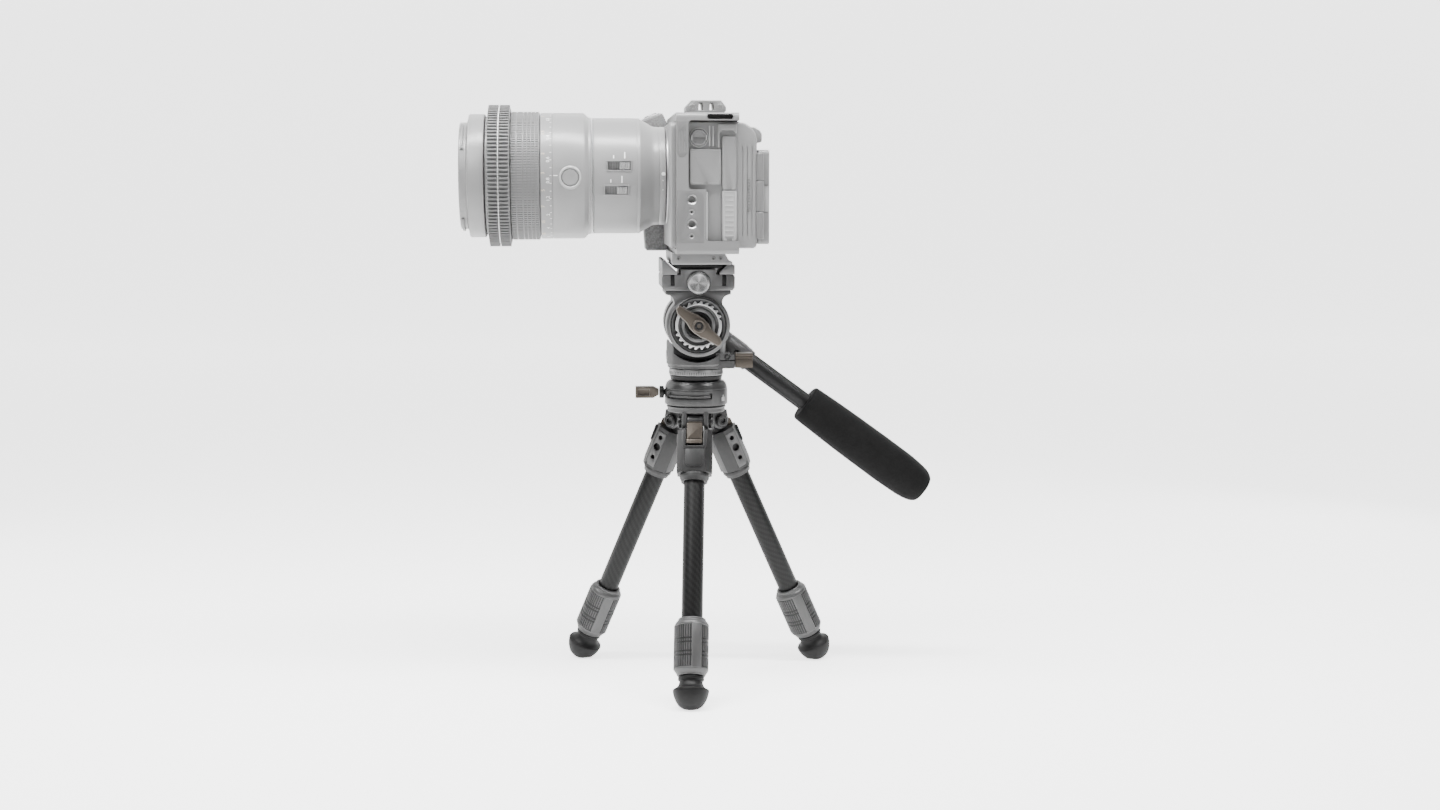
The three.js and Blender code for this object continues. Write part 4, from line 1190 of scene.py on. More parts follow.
# %% Clamp base and jaws
CLAMP_KNOB_Z = 254.3
CLAMP_HALF = 27.9
base_outline = [(-22.6, 251.2), (-21.2, 249.45), (21.2, 249.45), (22.6, 251.2), (22.75, 257.6),
                (22.2, 259.05), (17.4, 259.05), (17.4, 252.4), (14.8, 252.4), (14.8, 259.05), (11, 259.4),
                (11, 262.6), (-11, 262.6), (-11, 259.4), (-14.8, 259.05), (-14.8, 252.4), (-17.4, 252.4),
                (-17.4, 259.05), (-22.2, 259.05), (-22.75, 257.6)]
clamp = slab("clamp_base", base_outline, -CLAMP_HALF, CLAMP_HALF, along="Y")
cut(clamp, peg("pocket", 7.4, -32, -24.2, "Y", (0, 0, CLAMP_KNOB_Z), 72),
    peg("stem", 3.3, -30, -8, "Y", (0, 0, CLAMP_KNOB_Z)))
CLAMP_METAL = blasted("clamp grey", "grey_alloy", 104, grain=0.3, rough=0.34, metal=0.65)
fit(soften(clamp, 0.3, 2), CLAMP_METAL, "tilt", "clamp_base")
# Black blocks fill the gaps beside the ears: painted shade.
for side in (-1, 1):
    gap_shade_block = block("clamp_gap_shade", (side * 16.1 - 1.25, -26.8, 252.5), (side * 16.1 + 1.25, 26.8, 258.9))
    fit(soften(gap_shade_block, 0.1), BLACK_METAL, "tilt")


def jaw(side, top):
    lean = 13 + top - 260.6
    outline = [(22.7, 259.45), (22.7, top - 0.8), (22.0, top), (lean, top), (13.1, 260.7), (13.1, 259.45)]
    piece = slab("jaw", [(side * x, z) for x, z in outline], -CLAMP_HALF, CLAMP_HALF, along="Y")
    low, high = sorted((side * 18, side * 26))
    for y in (-17, 17):
        cut(piece, peg("pin hole", 1.2, low, high, "X", (0, y, 262.6)))
    return soften(piece, 0.3, 2)


fit(jaw(-1, 268.6), CLAMP_METAL, "jaw_left", "clamp_jaw_left")
fit(jaw(1, 265.6), CLAMP_METAL, "jaw_right", "clamp_jaw_right")
left_cap = slab("jaw_cap", [(-22.6, 267.4), (-22.6, 268.6), (-20.9, 268.62), (-20.2, 268.1), (-20.2, 267.4)],
                -27.6, 27.6, along="Y")
fit(soften(left_cap, 0.1), BLACK_METAL, "jaw_left")

# %% Clamp knob
KNOB_FRAME = HERE @ Matrix.Translation((0, 0, CLAMP_KNOB_Z * MM)) @ Matrix.Rotation(math.pi / 2, 4, "X")
knob_outline = gear_outline(6.75, 7.0, 44, 0.4, 0.15)
knob = slab("clamp_knob", knob_outline, 27.7, 29.6, along="Z")
knob_face = turned("knob_face", [(0, 28), (6.85, 28), (6.85, 29.8), (6.2, 30.5), (5.2, 30.55), (4.9, 30.35),
                                 (0, 30.45)], 144)
knob_stem = peg("knob_stem", 2.9, 12.2, 28.2, "Z")
KNOB_METAL = brushed("knob silver", "silver_alloy", 150, KNOB_FRAME, 50, 0.22)
fit(together("clamp_knob", [soften(knob, 0.08), soften(knob_face, 0.08), soften(knob_stem, 0.1)]),
    KNOB_METAL, "clamp_knob", "clamp_knob", frame_matrix=KNOB_FRAME)

# %% [markdown]
# ## Handle
# The handle runs down and back from the drum. Its socket is turned metal with a dark mouth, the rod
# is a black tube with a groove along it, and the sleeve is foam.

# %% Socket and rod
HANDLE_FRAME = HERE @ Matrix.Translation(Vector((0, HANDLE_Y, TILT_Z)) * MM) @ Matrix.Rotation(
    math.radians(90 + HANDLE_LEAN), 4, "Y")
socket = turned("handle_socket", [(0, 17.7), (7.9, 17.7), (7.9, 24.5), (7.7, 24.7), (7.7, 25.1), (7.9, 25.3),
                                  (7.9, 36.6), (7.5, 38.4), (7.5, 41.2), (7.0, 41.9), (6.2, 41.9), (6.2, 22),
                                  (0, 22)], 96)
cut(socket, peg("screw seat", 1.7, 6.2, 12, "Y", (0, 0, 33)),
    peg("screw seat", 1.7, -12, -6.2, "Y", (0, 0, 33)))
fit(soften(socket, 0.2), GREY_METAL, "tilt", "handle_socket", frame_matrix=HANDLE_FRAME)
set_profile = [(0, 5.9), (1.5, 5.9), (1.5, 7.0), (1.3, 7.2), (0, 7.2)]
set_screw = socket_screw("set_screw", set_profile, 0.8, 6.5, 32)
screws = [copied(set_screw, "set_screw", Matrix.Translation((0, 0, 33 * MM)) @ Matrix.Rotation(turn, 4, "X"))
          for turn in (math.pi / 2, -math.pi / 2)]
bpy.data.objects.remove(set_screw)
fit(soften(together("set_screws", screws), 0.08), BOLT_STEEL, "tilt", frame_matrix=HANDLE_FRAME)

rod = turned("rod", [(0, 22.4), (5.4, 22.4), (5.85, 23), (5.85, 177.6), (5.4, 178.2), (0, 178.2)], 96)
for turn in (90, 210, 330):
    groove = block("groove", (5.55, -0.8, 42.5), (7, 0.8, 88.6))
    cut(rod, lay(groove, Matrix.Rotation(math.radians(turn), 4, "Z")))
fit(soften(rod, 0.15), BLACK_METAL, "tilt", "handle_rod", frame_matrix=HANDLE_FRAME)
rod_ring = turned("rod_ring", [(5.9, 42.2), (7.0, 42.2), (7.0, 43.6), (6.3, 44.2), (5.9, 44.2),
                               (5.9, 42.2)], 80)
fit(soften(rod_ring, 0.12), BLACK_METAL, "tilt", frame_matrix=HANDLE_FRAME)

# %% Foam sleeve
sleeve = turned("foam_sleeve", [(6.2, 89.2), (11.2, 89.2), (12.2, 90.0), (12.5, 91.6), (13.2, 112),
                                (13.6, 134), (13.65, 158), (13.4, 168), (12.6, 178.5), (11.4, 183.2),
                                (9.2, 186.2), (6.0, 187.3), (0, 187.4), (0, 178.5), (6.2, 178.5),
                                (6.2, 89.2)], 96)
FOAM = foam("black foam", "grip_foam", 14, HANDLE_FRAME)


def foam_surface(piece):
    """Foam is never a true cylinder, so the sleeve is pushed in and out by a fraction of a millimetre."""
    pick(piece)
    finer = piece.modifiers.new("finer", "SUBSURF")
    finer.levels = finer.render_levels = 1
    bpy.ops.object.modifier_apply(modifier=finer.name)
    lumps = bpy.data.textures.new("foam lumps", "CLOUDS")
    lumps.noise_scale = 9 * MM
    lumps.noise_depth = 2
    swell = piece.modifiers.new("swell", "DISPLACE")
    swell.texture = lumps
    swell.texture_coords = "LOCAL"
    swell.strength = 0.5 * MM
    swell.mid_level = 0.6
    bpy.ops.object.modifier_apply(modifier=swell.name)
    bpy.ops.object.shade_smooth_by_angle(angle=math.radians(50))
    return piece


foam_surface(soften(sleeve, 0.5, 3))
fit(sleeve, FOAM, "tilt", "handle_grip", frame_matrix=HANDLE_FRAME)
print("sleeve faces:", len(sleeve.data.polygons))

# %% [markdown]
# ## Lens barrels
# The lens is a stack of turned barrels with one axis. It is modelled upright at the origin, with its
# mount at height 0 and its near side towards +X, and one matrix lays each finished piece down.
# Real barrels have many small steps, lips and chamfers, so their profiles do too.

# %% Lens frame and barrels
MOUNT_X = -19.4
LENS = HERE @ Matrix.Translation(Vector((MOUNT_X, 0, LENS_Z)) * MM) @ Matrix(
    ((0, 0, -1, 0), (-1, 0, 0, 0), (0, 1, 0, 0), (0, 0, 0, 1)))
LENS_PAINT = paint("lens paint", "pale_lens", 128, grain=0.5, rough=0.33, coat=0.3)
LENS_SHADE = paint("lens paint shade", "pale_lens", 110, grain=0.5, rough=0.42)
LENS_RUBBER = rubber("lens rubber", "pale_rubber", 118, matrix=LENS, grain=0.4)
GEAR_PLASTIC = rubber("gear plastic", "pale_rubber", 112, matrix=LENS, grain=0.5, rough=0.5)


def lens_piece(piece, material, body="tilt", *nodes, slot=None):
    return fit(piece, material, body, *nodes, slot=slot, frame_matrix=LENS)


rear_profile = [(27, 0.5), (30.2, 0.5), (30.6, 0.9), (30.6, 3.9), (30.4, 4.1), (30.4, 4.6), (30.6, 4.8),
                (30.7, 7.0), (31.2, 9.0), (32.4, 10.8), (35.2, 15.6), (36.0, 16.6), (36.0, 18.0),
                (35.85, 18.2), (35.85, 18.6), (36.05, 18.8), (36.05, 44.9), (35.6, 45.4), (35.6, 46),
                (27, 46), (27, 0.5)]
SWITCH_PLACES = ((29.6, 6.0), (31.4, -9.0))
rear = turned("rear_barrel", rear_profile, 192)
for along, rise in SWITCH_PLACES:
    cut(rear, block("pocket", (33.7, rise - 2.6, along - 7), (38, rise + 2.6, along + 7)))
lens_piece(soften(rear, 0.25, 2), LENS_PAINT, "tilt", "lens_rear_barrel")

front_profile = [(29, 46.5), (35.9, 46.5), (36.5, 47.1), (36.5, 48.4), (38.7, 50.5), (39.2, 51.3),
                 (39.25, 70.1), (38.95, 70.3), (38.95, 70.7), (39.25, 70.9), (39.25, 77.4), (38.9, 77.9),
                 (37, 77.95), (37, 111.3), (36.6, 111.8), (29, 111.8), (29, 46.5)]
BUTTON_PLACE = (-1.2, 59.6)
front = turned("front_barrel", front_profile, 192)
cut(front, peg("button pocket", 5.4, 36.6, 42, "X", (0, *BUTTON_PLACE), 64))
lens_piece(soften(front, 0.2, 2), LENS_PAINT, "tilt", "lens_front_barrel")

# %% [markdown]
# ## Focus ring and gear
# The rubber ring is covered with rows of small pads. One toothed outline, pulled up in short bands
# with gaps between, makes all the pads of a row at once. The follow-focus gear in front of it is
# two rows of real teeth with a bright groove between them.

# %% Pads, teeth and groove
def toothed_bands(name, root, tip, teeth, bands, bore, land=0.5, flank=0.1):
    made = []
    for low, high in bands:
        band_piece = slab("band", gear_outline(root, tip, teeth, land, flank), low, high, along="Z")
        made.append(cut(band_piece, peg("bore", bore, low - 1, high + 1, "Z", sides=96)))
    return together(name, made)


ring_core = turned("focus_ring", [(37.5, 78.5), (39.3, 78.5), (39.5, 78.8), (39.5, 95.8), (39.2, 96.1),
                                  (37.5, 96.1), (37.5, 78.5)], 192)
lens_piece(soften(ring_core, 0.1), LENS_SHADE, "focus", "focus_ring", slot="pale_rubber")
PAD_BANDS = ((79.1, 80.9), (81.5, 83.3), (83.9, 85.7), (86.3, 88.1), (88.9, 92.1), (92.9, 95.6))
pads = toothed_bands("ring_pads", 39.35, 39.9, 150, PAD_BANDS, 39.2, 0.56, 0.08)
lens_piece(pads, LENS_RUBBER, "focus")

GEAR_TEETH = 108
gear = toothed_bands("gear_teeth", 42.1, 44.1, GEAR_TEETH, ((97.1, 103.0), (104.1, 110.0)), 41.2, 0.32, 0.16)
lens_piece(gear, GEAR_PLASTIC, "focus")
gear_core = turned("gear_ring", [(37.4, 96.5), (41.6, 96.5), (42.4, 97.1), (42.4, 103.0), (42.0, 103.2),
                                 (42.0, 103.9), (42.4, 104.1), (42.4, 110), (41.4, 110.4), (37.4, 110.4),
                                 (37.4, 96.5)], 192)
lens_piece(soften(gear_core, 0.12), GEAR_PLASTIC, "focus", "focus_gear_ring")
groove_ring = turned("gear_groove", [(41.8, 103.2), (42.6, 103.25), (42.6, 103.85), (41.8, 103.9),
                                     (41.8, 103.2)], 192)
lens_piece(groove_ring, LENS_INK, "focus", slot="pale_rubber")
gear_screws = []
for turn in (0.2, 2.3, 4.4):
    gear_profile = [(0, 0), (1.3, 0), (1.3, 0.3), (1.1, 0.45), (0, 0.45)]
    head = socket_screw("gear_screw", gear_profile, 0.6, 0.1, 32)
    lay(head, Matrix.Translation((39.6 * MM, 0, 110.15 * MM)))
    gear_screws.append(lay(head, Matrix.Rotation(turn, 4, "Z")))
lens_piece(together("gear_screws", gear_screws), BOLT_STEEL, "focus", slot="pale_rubber")

# %% [markdown]
# ## Front of the lens
# The front ring carries three hood lugs, and inside its bore run the fine rings of a filter thread.
# Behind a black retaining ring sits the front element, on which a dark depth, lighter baffle rings and violet
# and green glints of the coating are painted.

# %% Front ring, hood lugs and thread
thread = []
for step in range(7):
    height = 127.4 - step * 1.1
    thread += [(31.4, height), (31.8, height - 0.35), (31.4, height - 0.7)]
filter_profile = [(29.5, 112.3), (37.9, 112.3), (38.4, 112.8), (38.4, 121.6), (37.9, 122.4), (34.6, 122.9),
                  (34.2, 123.3), (33.4, 123.4), (33.2, 123.8), (33.2, 127.5), (32.8, 128), (31.9, 128)] \
    + thread + [(31.4, 119), (29.5, 118.8), (29.5, 112.3)]
filter_ring = turned("filter_ring", filter_profile, 192)
lens_piece(soften(filter_ring, 0.08, 1, 50), LENS_PAINT, "tilt", "filter_ring")

lug_arc = [math.radians(a) for a in range(0, 41, 4)]
lug_outline = [(34.4 * math.cos(a), 34.4 * math.sin(a)) for a in lug_arc] \
    + [(32.9 * math.cos(a), 32.9 * math.sin(a)) for a in reversed(lug_arc)]
lug_base = slab("hood_lug", lug_outline, 125.3, 126.9, along="Z")
soften(lug_base, 0.2)
lens_piece(together("hood_lugs", around(lug_base, 3, "Z", 0.5)), LENS_SHADE, "tilt")

retainer = turned("retainer", [(26.4, 118.6), (27.2, 119.6), (28.0, 119.7), (28.2, 119.3), (29.0, 119.4),
                               (29.2, 119.9), (31.3, 120.0), (31.3, 119.0), (26.4, 117.4),
                               (26.4, 118.6)], 144)
cut(retainer, *[block("key", (28.6 * s - 1.4, -0.8, 119.2), (28.6 * s + 1.4, 0.8, 121)) for s in (-1, 1)])
lens_piece(soften(retainer, 0.08), BLACK_METAL, "tilt", slot="pale_lens")


def coated_glass():
    shop = Shop("coated glass", "glass")
    x, y, _ = shop.place(LENS)
    radius = shop.math("SQRT", x * x + y * y)
    depth = (radius / 29).clamp()
    steps = shop.math("SINE", radius * 3.1) * 0.5 + 0.5
    baffle = (radius > 17.5) * (1 - (radius > 26.0))
    # Painted shade and light: the glass darkens towards its middle like the lens's dark inside, with lighter
    # stepped rings for the baffles in it.
    well = shop.mix(depth * depth, (0.010, 0.008, 0.018), (0.045, 0.052, 0.06))
    ridged = shop.mix(baffle * steps * 0.35, well, (0.10, 0.11, 0.12))
    # Painted reflections: a violet and a green glint of the coating, at fixed places.
    away = shop.math("SQRT", (x - 5) * (x - 5) + (y - 8) * (y - 8))
    violet = (1 - (away / 9)).clamp()
    green_away = shop.math("SQRT", (x + 7) * (x + 7) + (y + 6) * (y + 6))
    green = (1 - (green_away / 7)).clamp()
    tinted = shop.mix(violet * 0.35, ridged, (0.16, 0.06, 0.26))
    color = shop.mix(green * 0.3, tinted, (0.05, 0.20, 0.13))
    return shop.finish(color=color, rough=0.04 + shop.noise(3.0) * 0.02, coat=1.0, coat_rough=0.02)


dome = [(29.1 * math.sin(math.radians(a)), 118.8 - 4.3 * (1 - math.cos(math.radians(a))))
        for a in range(0, 91, 6)]
element = turned("front_element", [(0, 112.6), (29.1, 112.6)] + list(reversed(dome)), 144)
lens_piece(soften(element, 0.05, 1, 60), coated_glass(), "tilt", "front_element")

# %% [markdown]
# ## Lens controls
# A round hold button sits in a raised ring on the near side. Two sliding switches behind it lie in
# milled pockets, each with a ribbed thumb piece and a painted index line.

# %% Hold button and switches
SIDEWAYS = Matrix.Rotation(math.pi / 2, 4, "Y")


def on_side(piece, rise, along):
    """A turned piece is set on the lens's near side, its own Z pointing outwards."""
    return lay(piece, Matrix.Translation(Vector((0, rise, along)) * MM) @ SIDEWAYS)


boss = turned("button_ring", [(5.35, 38.2), (7.3, 38.2), (7.1, 39.0), (6.5, 39.55), (5.9, 39.6), (5.5, 39.3),
                              (5.35, 38.2)], 96)
lens_piece(on_side(soften(boss, 0.08), *BUTTON_PLACE), PALE_LIGHT, "tilt", slot="pale_lens")
button = turned("hold_button", [(0, 37.9), (4.9, 37.9), (5.1, 38.1), (5.1, 38.9), (4.7, 39.4), (3.8, 39.5),
                                (2.0, 39.15), (0, 39.05)], 96)
lens_piece(on_side(soften(button, 0.06), *BUTTON_PLACE), LENS_PAINT, "hold_button", "focus_hold_button")

for (along, rise), node in zip(SWITCH_PLACES, ("range_switch", "stabiliser_switch")):
    slider = block(node, (34.0, rise - 2.15, along - 6.6), (35.6, rise + 2.15, along - 0.4))
    for step in range(5):
        rib = along - 6.0 + step * 1.15
        weld(slider, block("rib", (35.3, rise - 1.9, rib), (36.4, rise + 1.9, rib + 0.5)))
    lens_piece(soften(slider, 0.1), PALE_LIGHT, node, node, slot="pale_lens")
    floor_ribs = [block("floor_rib", (33.6, rise - 2.3, along - 6.6 + i * 1.0),
                        (33.9, rise + 2.3, along - 6.1 + i))
                  for i in range(14)]
    lens_piece(together(f"{node}_floor", floor_ribs), LENS_SHADE, "tilt")
    frame_outer = block("switch_frame", (35.0, rise - 3.4, along - 7.8), (36.25, rise + 3.4, along + 7.8))
    cut(frame_outer, block("window", (34, rise - 2.65, along - 7.05), (38, rise + 2.65, along + 7.05)))
    lens_piece(soften(frame_outer, 0.15), LENS_PAINT, "tilt")

# %% [markdown]
# ## Marks on the lens
# Distances are printed round the front barrel in two columns, with an index line, and a white dot by
# the mount shows how to fit it. Each numeral starts as text, becomes a mesh, and is then wrapped
# round the barrel by turning its width into an angle.

# %% Wrapped marks
def wrapped(piece, radius, along, turn):
    """A flat piece's x runs round the barrel, its y runs along it, and its z stands out from it."""
    settle(piece)
    for vertex in piece.data.vertices:
        angle = math.radians(turn) + vertex.co.x / (radius * MM)
        out = radius * MM + vertex.co.z
        vertex.co = Vector((out * math.cos(angle), out * math.sin(angle), along * MM + vertex.co.y))
    return mend(piece)


def numeral(words, size):
    clear()
    bpy.ops.object.text_add(location=(0, 0, 0))
    piece = bpy.context.object
    piece.data.body = words
    piece.data.size = size * MM
    piece.data.align_x, piece.data.align_y = "CENTER", "CENTER"
    piece.data.resolution_u = 2
    piece.data.extrude = 0.03 * MM
    bpy.ops.object.convert(target="MESH")
    return bpy.context.object


def bar_mark(width, height):
    return block("bar", (-width / 2, -height / 2, -0.03), (width / 2, height / 2, 0.04))


FEET = (("1", 62), ("1.5", 38), ("2", 18), ("3", 2), ("5", -12), ("7", -26), ("15", -42), ("30", -60))
METRES = (("0.3", 56), ("0.4", 33), ("0.6", 13), ("0.8", -4), ("1.2", -19), ("2", -34), ("4", -50),
          ("10", -68))
SCALE_R = 39.27
white_marks, warm_marks = [], []
for column, along, pool in ((FEET, 76.2, warm_marks), (METRES, 73.2, white_marks)):
    for words, turn in column:
        for side_turn in (0, 180):
            pool.append(wrapped(numeral(words, 2.9), SCALE_R, along, turn * 1.1 + side_turn))
for turn in range(-70, 80, 7):
    white_marks.append(wrapped(bar_mark(0.3, 1.0), SCALE_R, 71.6, turn))
white_marks.append(wrapped(bar_mark(0.45, 2.6), SCALE_R, 68.6, 0))
for along, rise in SWITCH_PLACES:
    turn = math.degrees(rise / 36.1)
    white_marks.append(wrapped(bar_mark(4.2, 0.7), 36.08, along - 3.4, turn + 10.6))
    white_marks.append(wrapped(bar_mark(2.0, 0.6), 36.08, along + 3.4, turn + 9.0))
white_marks.append(wrapped(bar_mark(6.5, 0.45), 30.62, 2.6, -11))
dot = turned("mount_dot", [(0, -0.05), (1.15, -0.05), (1.15, 0.1), (0.9, 0.18), (0, 0.2)], 32)
white_marks.append(wrapped(dot, 30.6, 2.3, 2))
lens_piece(together("lens_marks", white_marks), LENS_INK, "tilt")
lens_piece(together("lens_marks_warm", warm_marks), LENS_ORANGE, "tilt")
tip_ring = turned("mid_ring", [(36.0, 45.5), (36.35, 45.6), (36.35, 45.9), (36.0, 46.0), (36.0, 45.5)], 160)
lens_piece(tip_ring, PALE_LIGHT, "tilt", slot="pale_lens")
print("lens marks:", len(white_marks) + len(warm_marks))

# %% [markdown]
# ## Camera body
# The body is a cast box with a broken back edge and a bump for the viewfinder. Its outline from the
# side is drawn and pulled to width. A raised plate in front carries the bright lens mount.

# %% Body shell
BODY_HALF = 60.7
body_outline = [(-14.9, 276.5), (31.2, 276.5), (32.8, 277.2), (33.5, 278.8), (33.5, 341.5), (32.6, 345.6),
                (30.2, 349.2), (26.4, 351.7), (21.5, 352.7), (-14.9, 352.7)]
shell = slab("camera_body", body_outline, -BODY_HALF, BODY_HALF, along="Y")
soften(shell, 1.6, 4, 60)
bump_outline = [(27.5, 340.6), (37.0, 340.6), (37.6, 341.4), (37.6, 345.6), (36.4, 347.6), (33.0, 349.8),
                (27.5, 349.9)]
bump = soften(slab("bump", bump_outline, -47.5, 19.5, along="Y"), 0.8, 3)
weld(shell, bump)
cut(shell, slab("screen bay", rounded((-59.5, 278.0), (33.8, 337.6), 2.0), 32.4, 36, along="X"))
cut(shell, peg("mount", 23, -22, -9, "X", (0, 0, LENS_Z), 96))
for x0, z0, x1, z1 in ((-7.3, 315, 11.8, 336.5), (12.1, 311.8, 21.3, 344.2), (12.1, 280.7, 21.3, 311.5)):
    cut(shell, slab("door seat", rounded((x0, z0), (x1, z1), 0.8, 3), -61.5, -59.8, along="Y"))
for x in (24.6, 27.4, 30.2):
    cut(shell, block("side groove", (x, -61.5, 284), (x + 0.5, -60.2, 338)))
soften(shell, 0.12, 1, 50)
fit(shell, PALE, "tilt", "camera_body")

front_plate = slab("front_plate", rounded((-59.5, 276.8), (47, 352.5), 4.5, 8), -18.6, -14.8, along="X")
cut(front_plate, peg("mount", 23, -22, -9, "X", (0, 0, LENS_Z), 96))
cut(front_plate, block("grip room", (-19, 39.8, 270), (-14, 50, 356)))
fit(soften(front_plate, 0.7, 3), PALE, "tilt")
mount_ring = turned("mount_ring", [(23, -4.4), (30.0, -4.4), (30.0, -0.6), (29.6, 0.2), (23, 0.2),
                                   (23, -4.4)], 144)
lens_piece(soften(mount_ring, 0.12), SILVER, "tilt", slot="pale_body")
release = turned("lens_release", [(0, 0), (4.2, 0), (4.2, 1.0), (3.6, 1.6), (2.6, 1.8), (0, 1.6)], 48)
lay(release, Matrix.Translation(Vector((-18.6, 36.5, 306)) * MM) @ Matrix.Rotation(-math.pi / 2, 4, "Y"))
fit(soften(release, 0.12), PALE_DARK, "tilt")

# %% Dots, dial and bracket on the near side
dots = [soften(block("dot", (27.9, -61.2, 298.6 + i * 1.9), (29.5, -60.5, 299.6 + i * 1.9)), 0.15)
        for i in range(11)]
fit(together("side_dots", dots), PALE_DARK, "tilt")
DIAL_TURN = Matrix.Translation(Vector((-1.6, -60.4, 343.0)) * MM) @ Matrix.Rotation(math.pi / 2, 4, "X")
dial = turned("side_dial", [(0, -0.5), (5.1, -0.5), (5.1, 1.6), (4.7, 2.1), (3.9, 2.1), (3.7, 1.6),
                            (0, 1.6)], 64)
cut(dial, block("slot", (-3.4, -0.55, 1.0), (3.4, 0.55, 3)))
fit(lay(soften(dial, 0.12), DIAL_TURN), PALE_DARK, "tilt")
lips = [turned("dial_lip", [(5.3, -0.5), (5.9, -0.5), (5.8, 1.2), (5.4, 1.2), (5.3, -0.5)], 64)]
lips += [block("dial_bar", (s * 4.4 - 0.3, -1.6, 1.9), (s * 4.4 + 0.3, 1.6, 2.35)) for s in (-1, 1)]
fit(lay(soften(together("dial_lips", lips), 0.06), DIAL_TURN), PALE_LIGHT, "tilt")
bracket_outline = [(9.8, 337.2), (10.6, 337.2), (10.6, 345.4), (12.2, 347.4), (18.8, 347.4), (20.4, 345.6),
                   (20.9, 345.6), (20.9, 350.9), (9.8, 350.9)]
fit(soften(slab("side_bracket", bracket_outline, -63.4, -60.2, along="Y"), 0.25), PALE, "tilt")
bars = [block("side_bar", (x, -61.9, 338), (x + 0.8, -60.4, 350)) for x in (4.4, 6.6)]
fit(soften(together("side_bars", bars), 0.2), PALE_LIGHT, "tilt")

# %% [markdown]
# ## Doors and ports
# Three doors cover the sockets on the near side. Each has a round-cornered lip and a thumb notch, and
# under it, in the body, are real recessed sockets, which show when the door swings open.

# %% Doors
def door(node, low, high, body, ribs=0):
    (x0, z0), (x1, z1) = low, high
    piece = slab(node, rounded((x0, z0), (x1, z1), 0.9, 3), -62.4, -60.1, along="Y")
    inset = slab("inset", rounded((x0 + 0.9, z0 + 0.9), (x1 - 0.9, z1 - 0.9), 0.6, 3), -62.7, -62.25,
                 along="Y")
    cut(piece, inset)
    cut(piece, peg("notch", 1.6, -64, -61.9, "Y", ((x0 + x1) / 2, 0, z0 + 0.2), 32))
    for i in range(ribs):
        rise = z0 + 3 + (z1 - z0 - 6) * i / (ribs - 1)
        weld(piece, block("rib", (x0 + 1.8, -62.5, rise - 0.2), (x1 - 1.8, -62.2, rise + 0.2)))
    fit(soften(piece, 0.2), PALE_LIGHT if ribs else PALE, body, node)


door("port_door_front", (-7, 315), (11.5, 336.2), "door_front")
door("port_door_upper", (12.4, 311.9), (21, 343.9), "door_upper")
door("port_door_lower", (12.4, 281), (21, 311.3), "door_lower", ribs=9)

SOCKETS = ((-4, 318, 1, 333), (4, 318, 8.5, 325), (4, 328, 8.5, 333), (14.5, 315, 18.8, 322),
           (14.5, 326, 18.8, 340), (14.5, 284, 18.8, 293), (14.5, 297, 18.8, 308))
ports = []
for x0, z0, x1, z1 in SOCKETS:
    rim = slab("port", rounded((x0, z0), (x1, z1), 0.8, 3), -59.98, -59.7, along="Y")
    cut(rim, slab("mouth", rounded((x0 + 0.5, z0 + 0.5), (x1 - 0.5, z1 - 0.5), 0.5, 3), -61, -59.8,
                  along="Y"))
    ports.append(soften(rim, 0.05))
fit(together("ports", ports), BLACK_METAL, "tilt", slot="pale_body")

# %% [markdown]
# ## Cage
# A machined cage wraps the camera: a square tube with windows cut for the doors and the hand, and rows
# of threaded holes along every face. Edges are broken by a broad bevel. Each thread is a hole with a
# countersunk mouth, cut by one turned tool.

# %% Cage frame
CAGE_SIDE = 65.9
CAGE_TOP = 357.9
CAGE_METAL = paint("cage paint", "pale_body", 118, grain=0.35, rough=0.36, coat=0.15, edge=34)
cage = slab("camera_cage", rounded((-CAGE_SIDE, 273.2), (CAGE_SIDE, CAGE_TOP), 3.2, 6), -15.4, 22.4,
            along="X")
cut(cage, slab("chest", rounded((-61.2, 276.1), (61.2, 353.1), 1.5, 4), -18, 25, along="X"))
cut(cage, slab("side window", rounded((2.4, 281), (30, 330), 2.4), -70, -58, along="Y"))
cut(cage, slab("port window", rounded((-8.2, 312.2), (30, 353.2), 2.2), -70, -58, along="Y"))
cut(cage, slab("grip window", rounded((-30, 260), (40, 340), 3), 58, 70, along="Y"))
cut(cage, slab("top slot", arc(4.4, 355.4, 1.5, 90, 270, 6) + arc(17.4, 355.4, 1.5, -90, 90, 6), -70, -52,
               along="Y"))
for y0, y1 in ((-24, 6), (14, 34), (42, 54)):
    cut(cage, slab("top window", rounded((6.5, y0), (17, y1), 3), 350, 362, along="Z"))
    cut(cage, slab("floor window", rounded((-9, y0), (12, y1), 3), 262, 277, along="Z"))


def thread_tool(radius, depth):
    """A hole with a countersunk mouth at height 0 and its bottom below."""
    return turned("thread", [(0, 1.0), (radius + 0.9 + 1.0, 1.0), (radius + 0.9, 0), (radius, -0.8),
                             (radius, -depth), (0, -depth)], 28)


FACES = {"near": Matrix.Translation((0, -CAGE_SIDE * MM, 0)) @ Matrix.Rotation(math.pi / 2, 4, "X"),
         "far": Matrix.Translation((0, CAGE_SIDE * MM, 0)) @ Matrix.Rotation(-math.pi / 2, 4, "X"),
         "top": Matrix.Translation((0, 0, CAGE_TOP * MM))}


def drill(face, x, other, radius, depth=4.0):
    tool = thread_tool(radius, depth)
    shift = (x, 0, other) if face != "top" else (x, other, 0)
    lay(tool, Matrix.Translation(Vector(shift) * MM) @ FACES[face])
    cut(cage, tool)


